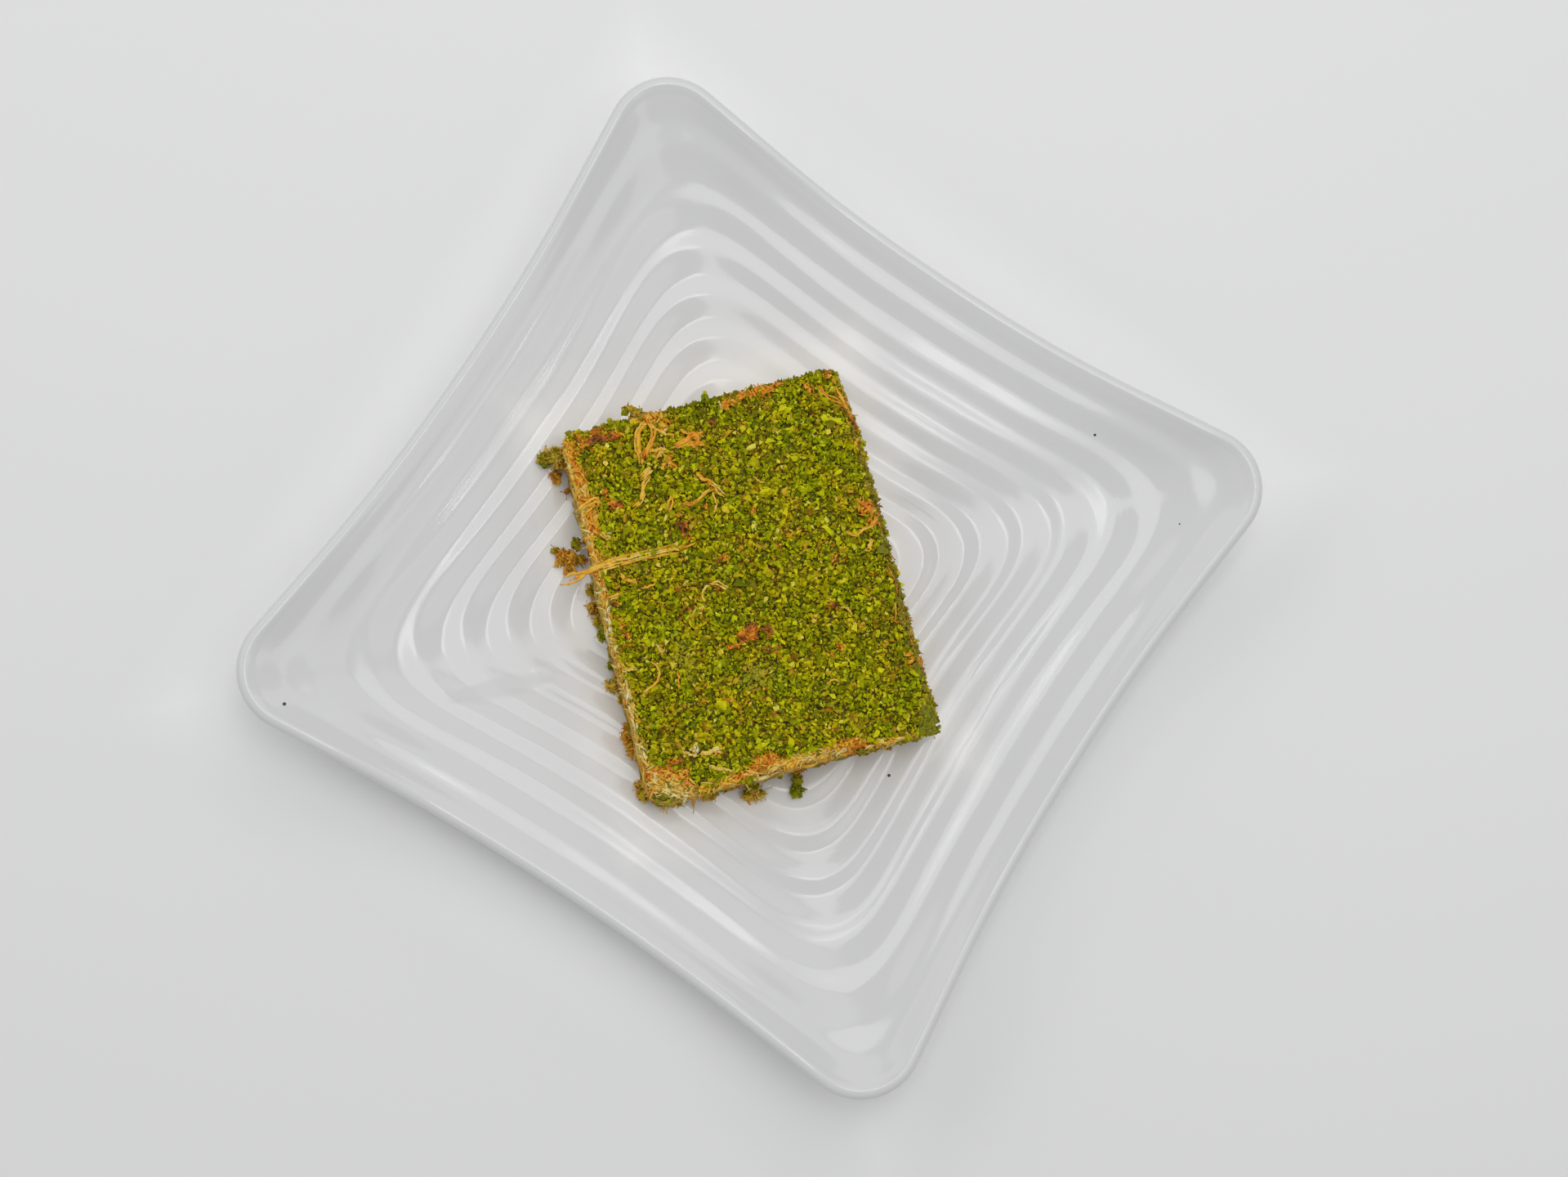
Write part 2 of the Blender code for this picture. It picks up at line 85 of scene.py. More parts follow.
# The rings stray by this much, over places of this size, but neither at the rim nor in the middle
RING_SWAY = 0.3 * MM
SWAY_SIZE = 17 * MM
SWAY_UNTIL = 0.97
SWAY_FADE = 0.1
SWAY_FROM = 0.3
# A point of the turned plate is on its top if it is no deeper than this under the plain bowl
TOP_DEPTH = 1.2 * MM
# How steep the ripples are, by share of the way out
STEEPNESS = ((0.35, 0.37), (0.5, 0.37), (0.62, 0.36), (0.69, 0.30), (0.82, 0.265), (0.92, 0.30))
# How deeply they are pressed at each angle, in degrees: the plate isn't even
PRESS_DEPTH = (
    (0, 0.78), (30, 0.85), (50, 1.05), (75, 0.92), (97, 1.08), (115, 0.98), (140, 0.75), (170, 0.82),
    (205, 0.68), (222, 0.75), (240, 1.15), (262, 1.30), (290, 1.10), (308, 0.95), (322, 1.15), (340, 0.85),
    (360, 0.78),
)
# How much more deeply at the middle of the left and the back side, by share of the way out
LEFT_PRESS = (
    (0.775, 0.0), (0.815, -0.45), (0.83, -0.45), (0.872, 0.0), (0.91, 0.25), (0.93, 0.25), (0.97, 0.0),
)
BACK_PRESS = ((0.60, -0.3), (0.68, 0.0))
SIDE_EDGE = 1.6
# A smooth worn smear across the ripples near the left tip
SMEAR = ((-46.0 * MM, -65.0 * MM), (-31.0 * MM, -48.5 * MM))
SMEAR_WIDTH = 3.4 * MM
SMEAR_EDGE = 1.9
SMEAR_FLATTENS = 0.75
# Where the underside's section has a point, by share of the way out
UNDER_SHARES = (0.965, 0.94, 0.91, 0.87, 0.83, 0.79, 0.75, 0.71, 0.67, 0.63, 0.59, 0.56)

# The slice: its middle and turn on the plate, its size, and the heights of its layers
SLICE_X = -2.0 * MM
SLICE_Y = -3.7 * MM
SLICE_TURN = math.radians(48.1)
HALF_WIDTH = 35.2 * MM
HALF_LENGTH = 45.7 * MM
CORNER_RADIUS = 3.2 * MM
TOP_HEIGHT = 22.6 * MM
CRUMB_LAYER = 2.1 * MM
SAG = 0.7 * MM
WALL_FLARE = 1.0 * MM
WALL_HEIGHT = 15.5 * MM

# Knots along a short and a long strip, and the places of the short one's, from its middle
SHORT_KNOTS = 5
LONG_KNOTS = 15
KNOT_SHARES = np.linspace(-0.5, 0.5, SHORT_KNOTS)


# Values that vary smoothly

# The noise repeats after this many cells, and starts where every place has a cell
NOISE_CELLS = 61
NOISE_START = 500.0


def smooth_step(value):
    value = np.clip(value, 0.0, 1.0)
    return value * value * (3.0 - 2.0 * value)


def soft_noise(x, y, scale, seed):
    """A smooth uneven value from -1 to 1 at each place."""
    lattice = np.random.default_rng(seed).uniform(-1.0, 1.0, (NOISE_CELLS, NOISE_CELLS))
    x = np.asarray(x) / scale + NOISE_START
    y = np.asarray(y) / scale + NOISE_START
    column = np.floor(x).astype(int)
    row = np.floor(y).astype(int)
    across = smooth_step(x - column)
    up = smooth_step(y - row)

    def along_row(line):
        here = lattice[column % NOISE_CELLS, line % NOISE_CELLS]
        following = lattice[(column + 1) % NOISE_CELLS, line % NOISE_CELLS]
        return here * (1 - across) + following * across

    return along_row(row) * (1 - up) + along_row(row + 1) * up


def ragged(along, depth, scale, seed):
    """How far an edge strays at each place along it."""
    return depth * soft_noise(along, 0 * along, scale, seed)


def read_table(value, table):
    """The second column of a table where its first one has this value."""
    rows = np.array(table)
    return np.interp(value, rows[:, 0], rows[:, 1])


# Work on meshes


def deselect_all():
    if bpy.context.mode != "OBJECT":
        bpy.ops.object.mode_set(mode="OBJECT")
    bpy.ops.object.select_all(action="DESELECT")


def edit_all():
    """Opens the active piece with all of it selected."""
    bpy.ops.object.mode_set(mode="EDIT")
    bpy.ops.mesh.select_all(action="SELECT")


def cut_across(place, normal, **settings):
    """Cuts all of the open piece along a plane."""
    bpy.ops.mesh.select_all(action="SELECT")
    bpy.ops.mesh.bisect(plane_co=place, plane_no=normal, **settings)


def points_of(piece):
    points = np.empty(len(piece.data.vertices) * 3)
    piece.data.vertices.foreach_get("co", points)
    return points.reshape(-1, 3)


def move_points(piece, points):
    piece.data.vertices.foreach_set("co", points.ravel())
    piece.data.update()


def triangles_of(piece):
    faces = np.empty(len(piece.data.polygons) * 3, int)
    piece.data.polygons.foreach_get("vertices", faces)
    return faces.reshape(-1, 3)


def take_as_pattern(piece):
    """The active piece's points and triangles, to be repeated. The piece itself is then removed."""
    edit_all()
    bpy.ops.mesh.normals_make_consistent(inside=False)
    bpy.ops.mesh.quads_convert_to_tris()
    bpy.ops.object.mode_set(mode="OBJECT")
    pattern = points_of(piece), triangles_of(piece)
    bpy.data.objects.remove(piece)
    return pattern


def repeated(points, faces, values):
    """Flattens copies of a pattern, one a row, and puts each copy's values on all its points."""
    count, size = points.shape[:2]
    starts = np.arange(count)[:, None, None] * size
    kept = {key: np.repeat(value, size) for key, value in values.items()}
    return points.reshape(-1, 3), (faces[None] + starts).reshape(-1, 3), kept


def join_copies(copies):
    """One set of points, triangles and values from several."""
    points, faces, values, start = [], [], [], 0
    for some_points, some_faces, some_values in copies:
        points.append(some_points)
        faces.append(some_faces + start)
        values.append(some_values)
        start += len(some_points)
    joined = {key: np.concatenate([some[key] for some in values]) for key in values[0]}
    return np.concatenate(points), np.concatenate(faces), joined


def keep_value(piece, key, value):
    """Keeps a number or a vector on each point for the material to read."""
    kind, field = ("FLOAT", "value") if value.ndim == 1 else ("FLOAT_VECTOR", "vector")
    attribute = piece.data.attributes.new(key, kind, "POINT")
    attribute.data.foreach_set(field, value.astype(np.float32).ravel())


def piece_from(name, parts, smooth):
    """A mesh piece from points, triangles and the values on its points."""
    points, faces, values = parts
    mesh = bpy.data.meshes.new(name)
    mesh.vertices.add(len(points))
    mesh.vertices.foreach_set("co", points.ravel())
    mesh.loops.add(faces.size)
    mesh.loops.foreach_set("vertex_index", faces.ravel().astype(np.int32))
    mesh.polygons.add(len(faces))
    mesh.polygons.foreach_set("loop_start", np.arange(0, faces.size, 3, dtype=np.int32))
    mesh.update(calc_edges=True)
    mesh.validate()
    piece = bpy.data.objects.new(name, mesh)
    bpy.context.scene.collection.objects.link(piece)
    for key, value in values.items():
        keep_value(piece, key, value)
    mesh.polygons.foreach_set("use_smooth", np.full(len(mesh.polygons), smooth))
    return piece


def dress(piece, material, slot, *nodes):
    """Gives a finished piece its material and its place in the model."""
    piece.data.materials.clear()
    piece.data.materials.append(material)
    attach(piece, "root")
    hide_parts(*nodes)


# The plate


def from_tip(angle):
    """The angle from the nearest tip, from -45 to 45 degrees."""
    return np.mod(angle, QUARTER) - QUARTER / 2


def outline_radius(angle):
    """How far the rim's crest is from the middle: a hollow arc along the side, a round arc at the tip."""
    side_centre = HALF_SIDE + SIDE_ARC_RADIUS
    reach = SIDE_ARC_RADIUS + TIP_RADIUS
    tip_centre = (side_centre - math.sqrt(2 * reach**2 - side_centre**2)) / 2
    join = math.atan2(
        tip_centre - tip_centre * TIP_RADIUS / reach,
        tip_centre + (side_centre - tip_centre) * TIP_RADIUS / reach,
    )
    away = np.abs(from_tip(angle))
    diagonal = tip_centre * math.sqrt(2)
    tip = diagonal * np.cos(away) + np.sqrt(np.maximum(TIP_RADIUS**2 - (diagonal * np.sin(away)) ** 2, 0))
    across = side_centre * np.sin(QUARTER / 2 - away)
    arc = np.sqrt(np.maximum(SIDE_ARC_RADIUS**2 - across**2, 0))
    side = side_centre * np.cos(QUARTER / 2 - away) - arc
    return np.where(away < QUARTER / 2 - join, tip, side)


def rounded_outline(rounding):
    """The outline over a quarter turn with its tip rounded off over this angle."""
    total, weights = 0.0, 0.0
    for step in np.linspace(-2.0, 2.0, 9):
        weight = math.exp(-step * step / 2)
        total = total + weight * outline_radius(QUARTER_TURN + step * rounding)
        weights += weight
    return total / weights


QUARTER_TURN = np.linspace(0.0, QUARTER, 2001)
RIM_OUTLINE = outline_radius(QUARTER_TURN)
OUTER_OUTLINE = rounded_outline(OUTER_ROUNDING)
INNER_OUTLINE = rounded_outline(INNER_ROUNDING)


def ring_radius(share, angle):
    """A ring at this share of the way out. The further in a ring is, the rounder it is at the tips."""
    turn = np.mod(angle, QUARTER)
    rim = np.interp(turn, QUARTER_TURN, RIM_OUTLINE)
    outer = np.interp(turn, QUARTER_TURN, OUTER_OUTLINE)
    inner = np.interp(turn, QUARTER_TURN, INNER_OUTLINE)
    first = np.clip((1.0 - share) / (1.0 - ROUND_FROM), 0.0, 1.0)
    second = np.clip((ROUND_FROM - share) / ROUND_OVER, 0.0, 1.0)
    return share * (rim + (outer - rim) * first + (inner - outer) * second)


def rim_lift(share, angle):
    """The rim sinks along the sides and rises to the tips."""
    tip = np.exp(-((from_tip(angle) / TIP_RISE_WIDTH) ** 2))
    out = np.clip((share - RISE_FROM) / (1.0 - RISE_FROM), 0.0, 1.0)
    return TIP_RISE * tip * out * out - SIDE_SINK * smooth_step(out)


def bowl_height(share):
    return FLOOR_HEIGHT + BOWL_DEPTH * np.minimum(share, 1.0) ** BOWL_POWER


def ripple_height(share):
    """The ripples over the plain bowl: flatter terraces, each with a steeper rise on both sides."""
    radius = np.asarray(share) * HALF_SIDE
    centres = np.array(ALL_RIPPLES) * MM
    gaps = np.diff(centres)
    inner = np.concatenate([centres[:1], gaps])
    outer = np.concatenate([gaps, [LAST_GAP]])
    which = np.searchsorted((centres[1:] + centres[:-1]) / 2, radius)
    pitch = np.where(radius < centres[which], inner[which], outer[which])
    along = np.clip((radius - centres[which]) / pitch, -0.5, 0.5)
    edge = TERRACE_EDGE
    bend = np.log(np.cosh((along + TERRACE_HALF) / edge)) - np.log(np.cosh((along - TERRACE_HALF) / edge))
    return read_table(share, STEEPNESS) * pitch * (2 * TERRACE_HALF * along - 0.5 * edge * bend)


def smear_share(x, y):
    """How far the smear covers a place, 0 to 1."""
    start, end = np.array(SMEAR)
    way = end - start
    along = np.clip(((x - start[0]) * way[0] + (y - start[1]) * way[1]) / (way @ way), 0.0, 1.0)
    away = np.hypot(x - start[0] - along * way[0], y - start[1] - along * way[1])
    width = SMEAR_WIDTH * (0.55 + 0.45 * np.sin(math.pi * along))
    width = width * (1 + 0.2 * soft_noise(x, y, 3 * MM, 19))
    return smooth_step(SMEAR_EDGE * (1 - away / width))


def near_angle(degrees, middle, reach):
    """1 near the middle, fading to 0 at this reach from it."""
    return smooth_step(SIDE_EDGE * (1 - np.abs(degrees - middle) / reach))


def press_depth(x, y, angle, share):
    """How deep the ripples are at a place, against their usual depth."""
    degrees = np.degrees(np.mod(angle, 2 * math.pi))
    even = read_table(degrees, PRESS_DEPTH) * (1 + 0.2 * soft_noise(x, y, 24 * MM, 17))
    left = near_angle(degrees, 180, 45) * read_table(share, LEFT_PRESS)
    back = near_angle(degrees, 97, 50) * read_table(share, BACK_PRESS)
    return even * (1 - SMEAR_FLATTENS * smear_share(x, y)) * (1 + left + back)


def plate_surface(x, y):
    """The height of the plate's rippled top at each place."""
    angle = np.arctan2(y, x)
    distance = np.hypot(x, y)
    share = distance / outline_radius(angle)
    for _ in range(4):
        share = share * distance / np.maximum(ring_radius(share, angle), 1e-9)
    ripples = ripple_height(share) * press_depth(x, y, angle, share)
    return bowl_height(share) + rim_lift(share, angle) + ripples


def crowd_to_tip(angle):
    """Moves an angle towards the nearest tip, so that more of the steps fall on the tight curve."""
    away = from_tip(angle)
    half = QUARTER / 2
    return angle - away + np.copysign(half * (np.abs(away) / half) ** TIP_CROWDING, away)


def section_radii():
    """Where the section of the plate's top has a point: close together at the edges of the terraces."""
    fine = (0.07, 0.14, 0.165, 0.19, 0.21, 0.235, 0.26, 0.3, 0.4, 0.5)
    plain = (0.12, 0.17, 0.20, 0.23, 0.28, 0.5)
    few = (0.15, 0.22, 0.5)
    radii = [0.5, 3.0, 6.0]
    for i, centre in enumerate(ALL_RIPPLES):
        steps = fine if centre in WIDE_RIPPLES else plain if centre in CLOSE_RIPPLES else few
        inner = centre - ALL_RIPPLES[i - 1] if i else centre
        outer = ALL_RIPPLES[i + 1] - centre if i + 1 < len(ALL_RIPPLES) else LAST_GAP / MM
        radii.append(centre)
        radii += [centre - step * inner for step in steps if step < 0.5 or i == 0]
        radii += [centre + step * outer for step in steps]
    radii += [85.6, 86.2]
    return np.array(sorted(radii)) * MM


def plate_section():
    """The section from the middle of the top, out over the round lip and back under to the middle."""
    radii = section_radii()
    shares = radii / HALF_SIDE
    heights = bowl_height(shares) + ripple_height(shares)
    top = [(0.0, FLOOR_HEIGHT + ripple_height(0.0))] + list(zip(radii, heights))
    crest = FLOOR_HEIGHT + BOWL_DEPTH
    lip = []
    for turn in np.radians(np.linspace(112, -50, 15)):
        out = HALF_SIDE + 0.3 * MM + LIP_RADIUS * math.cos(turn)
        lip.append((out, crest - LIP_RADIUS + LIP_RADIUS * math.sin(turn)))
    under = [(share * HALF_SIDE, float(bowl_height(share)) - WALL) for share in UNDER_SHARES]
    foot = [
        (FOOT_OUTER + 1.0 * MM, 0.85 * MM),
        (FOOT_OUTER + 0.5 * MM, 0.3 * MM),
        (FOOT_OUTER, 0.0),
        (FOOT_INNER, 0.0),
        (FOOT_INNER - 0.5 * MM, 0.3 * MM),
        (FOOT_INNER - 1.0 * MM, 0.85 * MM),
        (FOOT_INNER - 2.0 * MM, float(bowl_height(0.43)) - WALL),
        (0.25 * HALF_SIDE, FLOOR_HEIGHT - WALL + 0.3 * MM),
        (0.0, FLOOR_HEIGHT - WALL + 0.2 * MM),
    ]
    return top + lip + under + foot


def draw_to_square(points):
    """Moves the turned plate's points out to its square outline and up to the rise of its rim."""
    radius = np.hypot(points[:, 0], points[:, 1])
    angle = crowd_to_tip(np.arctan2(points[:, 1], points[:, 0]))
    share = np.minimum(radius, LIP_START) / HALF_SIDE
    beyond = np.maximum(radius - LIP_START, 0.0)
    on_top = (points[:, 2] > bowl_height(share) - TOP_DEPTH) & (beyond == 0)
    sway = RING_SWAY * soft_noise(radius * np.cos(angle), radius * np.sin(angle), SWAY_SIZE, 18)
    sway = sway * smooth_step((SWAY_UNTIL - share) / SWAY_FADE) * smooth_step(share / SWAY_FROM)
    ring = ring_radius(share + np.where(on_top, sway, 0.0) / HALF_SIDE, angle)
    step = 1e-4
    ahead = outline_radius(angle + step)
    behind = outline_radius(angle - step)
    way_x = ahead * np.cos(angle + step) - behind * np.cos(angle - step)
    way_y = ahead * np.sin(angle + step) - behind * np.sin(angle - step)
    length = np.hypot(way_x, way_y)
    x = ring * np.cos(angle) + beyond * way_y / length
    y = ring * np.sin(angle) - beyond * way_x / length
    lift = rim_lift(np.where(beyond > 0, 1.0, share), angle)
    z = points[:, 2] + np.where(points[:, 2] > FOOT_HEIGHT, lift, 0.0)
    z = z + np.where(on_top, ripple_height(share) * (press_depth(x, y, angle, share) - 1), 0.0)
    return np.stack([x, y, z], axis=1)


def model_plate():
    """One point extruded along the section, spun round the axis, then drawn out to the square."""
    section = plate_section()
    deselect_all()
    bpy.ops.mesh.primitive_plane_add(size=MM, location=(0, 0, section[0][1]))
    plate = bpy.context.object
    plate.name = "rippled_plate"
    edit_all()
    bpy.ops.mesh.merge(type="CENTER")
    for (x, z), (next_x, next_z) in zip(section, section[1:]):
        way = (float(next_x - x), 0.0, float(next_z - z))
        bpy.ops.mesh.extrude_vertices_move(TRANSFORM_OT_translate={"value": way})
    bpy.ops.mesh.select_all(action="SELECT")
    bpy.ops.mesh.spin(steps=PLATE_STEPS, angle=2 * math.pi, center=(0, 0, 0), axis=(0, 0, 1))
    bpy.ops.mesh.select_all(action="SELECT")
    bpy.ops.mesh.remove_doubles(threshold=0.002 * MM)
    bpy.ops.mesh.normals_make_consistent(inside=False)
    bpy.ops.mesh.faces_shade_smooth()
    bpy.ops.object.mode_set(mode="OBJECT")
    bpy.ops.object.transform_apply(location=True)
    turned = points_of(plate)
    angle = crowd_to_tip(np.arctan2(turned[:, 1], turned[:, 0]))
    radius = np.hypot(turned[:, 0], turned[:, 1])
    along = np.stack([radius / MM, 5 * np.cos(angle), 5 * np.sin(angle)], axis=1)
    move_points(plate, draw_to_square(turned))
    keep_value(plate, "press_lines", along)
    finished = points_of(plate)
    keep_value(plate, "smear", smear_share(finished[:, 0], finished[:, 1]))
    return plate


# The slice's shape


def to_plate(points):
    """Turns and moves points of the slice to their place on the plate."""
    cos, sin = math.cos(SLICE_TURN), math.sin(SLICE_TURN)
    x = SLICE_X + points[..., 0] * cos - points[..., 1] * sin
    y = SLICE_Y + points[..., 0] * sin + points[..., 1] * cos
    return np.stack([x, y, points[..., 2]], axis=-1)


def plate_under(x, y):
    """The height of the plate's top under a place of the slice."""
    flat = to_plate(np.stack([x, y, np.zeros_like(x)], axis=-1))
    return plate_surface(flat[..., 0], flat[..., 1])


def round_corners(x, y, half_x, half_y, radius):
    """Draws the corners of a rectangle full of points in to round ones."""
    over_x = np.maximum(np.abs(x) - (half_x - radius), 0.0)
    over_y = np.maximum(np.abs(y) - (half_y - radius), 0.0)
    share = np.maximum(over_x, over_y) / np.maximum(np.hypot(over_x, over_y), 1e-9)
    share = np.where((over_x > 0) & (over_y > 0), share, 1.0)
    new_x = np.sign(x) * (np.minimum(np.abs(x), half_x - radius) + over_x * share)
    new_y = np.sign(y) * (np.minimum(np.abs(y), half_y - radius) + over_y * share)
    return new_x, new_y


def cut_outline():
    """Places and outward directions round the cut sides, anticlockwise from the top of the left side."""
    places, outward = [], []
    inner_x, inner_y = HALF_WIDTH - CORNER_RADIUS, HALF_LENGTH - CORNER_RADIUS
    for corner_x, corner_y, first in ((-1, 1, 90), (-1, -1, 180), (1, -1, 270), (1, 1, 0)):
        for turn in np.radians(first + np.linspace(0, 90, 10)):
            way = np.array([math.cos(turn), math.sin(turn)])
            places.append(np.array([corner_x * inner_x, corner_y * inner_y]) + CORNER_RADIUS * way)
            outward.append(way)
    places.append(places[0])
    outward.append(outward[0])
    return np.array(places), np.array(outward)


OUTLINE, OUTWARD = cut_outline()
LENGTH_ROUND = np.concatenate([[0.0], np.cumsum(np.hypot(*np.diff(OUTLINE, axis=0).T))])


def left_inset(y):
    """How far the slice is narrower along the back half of its left side."""
    return 1.1 * MM * smooth_step((y - 1 * MM) / (15 * MM))


def wall_flare(way_x, way_y, level):
    """How far a cut side spreads towards the plate: most at the right and back, hardly at the front."""
    side = 1 - 0.4 * np.maximum(-way_x, 0) - 0.9 * np.maximum(-way_y, 0)
    return WALL_FLARE * side * (1 - np.clip(level, 0, 1)) ** 1.6


def wall_place(along, level, out):
    """Points on the cut sides: how far round, how high from plate (0) to crust (1), and how far out."""
    along = np.mod(along, LENGTH_ROUND[-1])
    x = np.interp(along, LENGTH_ROUND, OUTLINE[:, 0])
    y = np.interp(along, LENGTH_ROUND, OUTLINE[:, 1])
    way_x = np.interp(along, LENGTH_ROUND, OUTWARD[:, 0])
    way_y = np.interp(along, LENGTH_ROUND, OUTWARD[:, 1])
    uneven = 0.6 * MM * soft_noise(along, level * 12 * MM, 5 * MM, 3) * (1 - 0.5 * np.maximum(-way_y, 0))
    out = out + wall_flare(way_x, way_y, level) + uneven
    x = x + way_x * out + left_inset(y) * np.maximum(-way_x, 0)
    y = y + way_y * out
    low = plate_under(x, y)
    return np.stack([x, y, low + (crust_height(x, y) - low) * level], axis=-1)


def sag(x, y):
    """How far the top dips between its edges."""
    inside = (1 - np.clip(x / HALF_WIDTH, -1, 1) ** 2) * (1 - np.clip(y / HALF_LENGTH, -1, 1) ** 2)
    return SAG * inside


def shoulder(x):
    """How far the top rounds off towards the right side, which has slumped a little."""
    return 3.4 * MM * smooth_step((x - 32.4 * MM) / (4.2 * MM)) ** 1.5


def crust_height(x, y):
    """The top of the pastry, under the crumbs."""
    return TOP_HEIGHT - CRUMB_LAYER - sag(x, y) - shoulder(x)


def crumb_height(x, y):
    """The top of the ground pistachio, with its low heaps."""
    heaps = 0.30 * MM * soft_noise(x, y, 6 * MM, 5) + 0.25 * MM * soft_noise(x, y, 2.6 * MM, 6)
    return TOP_HEIGHT - 0.35 * MM - sag(x, y) - shoulder(x) + heaps


# Where the crumbs stop, in millimetres: y for each x along the front, then x for each y along the left
FRONT_LINE = (
    (-33.5, -36.2), (-30.0, -37.4), (-26.0, -39.6), (-25.0, -43.0), (-23.4, -45.6), (-20.4, -45.2),
    (-19.0, -43.2), (-14.0, -42.6), (-9.5, -41.8), (-7.0, -40.9), (-4.0, -41.2), (-1.0, -42.8),
    (3.0, -42.4), (11.0, -42.6), (17.5, -43.0), (20.0, -44.9), (35.0, -45.6),
)
LEFT_LINE = (
    (-36.0, -33.8), (-10.0, -33.6), (3.0, -33.0), (14.0, -32.6), (24.0, -30.6), (29.0, -30.4),
    (33.0, -31.4), (41.0, -31.6), (45.0, -32.6),
)


def crumb_area(across, up):
    """A place in the crumb layer, from 0 to 1 both ways."""
    y = (2 * up - 1) * HALF_LENGTH
    left = read_table(y, np.array(LEFT_LINE) * MM) + ragged(y, 0.6 * MM, 2.6 * MM, 7)
    right = 35.8 * MM + ragged(y, 0.5 * MM, 4 * MM, 8) - 1.1 * MM * smooth_step((y - 28 * MM) / (14 * MM))
    x = left + (right - left) * across
    front = read_table(x, np.array(FRONT_LINE) * MM) + ragged(x, 0.4 * MM, 3 * MM, 9)
    back = 45.3 * MM + ragged(x, 0.4 * MM, 4 * MM, 10)
    y = front + (back - front) * up
    return round_corners(x, y, 36.1 * MM, 45.7 * MM, CORNER_RADIUS)


def grid_block(name, cuts_x, cuts_y, cuts_z):
    """A unit cube cut across many times, for a slab to be shaped from."""
    deselect_all()
    bpy.ops.mesh.primitive_cube_add(size=1, location=(0.5, 0.5, 0.5))
    block = bpy.context.object
    block.name = name
    bpy.ops.object.transform_apply(location=True)
    bpy.ops.object.mode_set(mode="EDIT")
    for axis, cuts in enumerate((cuts_x, cuts_y, cuts_z)):
        for cut in range(1, cuts):
            place = [0.0, 0.0, 0.0]
            normal = [0.0, 0.0, 0.0]
            place[axis] = cut / cuts
            normal[axis] = 1.0
            cut_across(place, normal)
    bpy.ops.mesh.select_all(action="SELECT")
    bpy.ops.mesh.normals_make_consistent(inside=False)
    bpy.ops.mesh.faces_shade_smooth()
    bpy.ops.object.mode_set(mode="OBJECT")
    return block


def model_dough():
    """The pressed mass of pastry inside: a slab settled on the plate, with stringy relief in its sides."""
    dough = grid_block("dough_core", 56, 72, 18)
    unit = points_of(dough)
    inner = 0.75 * MM
    x = (2 * unit[:, 0] - 1) * (HALF_WIDTH - inner)
    y = (2 * unit[:, 1] - 1) * (HALF_LENGTH - inner)
    edge = np.maximum(np.abs(2 * unit[:, 0] - 1), np.abs(2 * unit[:, 1] - 1)) > 0.999
    x, y = round_corners(x, y, HALF_WIDTH - inner, HALF_LENGTH - inner, CORNER_RADIUS)
    level = unit[:, 2]
    around = np.where(np.abs(x) > np.abs(y) * HALF_WIDTH / HALF_LENGTH, y, x + 0.3)
    relief = 0.45 * MM * soft_noise(around, 4 * level * 15 * MM, 3.2 * MM, 12)
    uneven = 0.3 * MM * soft_noise(around, level * 12 * MM, 5 * MM, 3)
    way_x = np.where(np.abs(2 * unit[:, 0] - 1) > 0.999, np.sign(x), 0.0)
    way_y = np.where(np.abs(2 * unit[:, 1] - 1) > 0.999, np.sign(y), 0.0)
    out = np.where(edge, relief + uneven + wall_flare(way_x, way_y, level), 0.0)
    inset = left_inset(y) * np.clip(-x / HALF_WIDTH, 0, 1) ** 3
    x = x + out * way_x + inset
    y = y + out * way_y
    low = plate_under(x, y) + 0.05 * MM
    high = crust_height(x, y) + 0.12 * MM * soft_noise(x, y, 2 * MM, 13)
    points = np.stack([x, y, low + (high - low) * level], axis=1)
    move_points(dough, to_plate(points))
    keep_value(dough, "tint", 0.62 - 0.2 * level + 0.12 * soft_noise(around, level * 15 * MM, 3 * MM, 14))
    keep_value(dough, "soak", smooth_step((0.62 - level) / 0.5))
    return dough


def model_crumb_bed():
    """The close-packed layer that the crumbs sit in."""
    columns, rows = 70, 90
    bed = grid_block("pistachio_bed", columns, rows, 1)
    unit = points_of(bed)
    shrink = 0.992
    x, y = (value * shrink for value in crumb_area(unit[:, 0], unit[:, 1]))
    in_columns = np.minimum(unit[:, 0], 1 - unit[:, 0]) * columns
    in_rows = np.minimum(unit[:, 1], 1 - unit[:, 1]) * rows
    rim = np.minimum(in_columns, in_rows)
    bumps = np.random.default_rng(15).uniform(-0.2, 0.2, len(x)) * MM
    high = crumb_height(x, y) - 0.55 * MM + bumps - 0.5 * MM * (rim < 0.5)
    low = crust_height(x, y) - 0.15 * MM
    points = np.stack([x, y, np.where(unit[:, 2] > 0.5, high, low)], axis=1)
    move_points(bed, to_plate(points))
    return bed


# Patterns that are repeated many times


def crumb_patterns():
    """Eight broken-nut shapes: a ball whose points are shaken, then cut flat on one side."""
    patterns = []
    for seed in range(8):
        rng = np.random.default_rng(100 + seed)
        deselect_all()
        bpy.ops.mesh.primitive_ico_sphere_add(subdivisions=1, radius=0.5, location=(0, 0, 0))
        crumb = bpy.context.object
        edit_all()
        bpy.ops.transform.vertex_random(offset=0.34, uniform=0.6, normal=0.3, seed=seed)
        normal = rng.normal(size=3)
        normal /= np.linalg.norm(normal)
        cut_across(normal * rng.uniform(0.15, 0.25), normal, use_fill=True, clear_outer=True)
        bpy.ops.object.mode_set(mode="OBJECT")
        patterns.append(take_as_pattern(crumb))
    return patterns


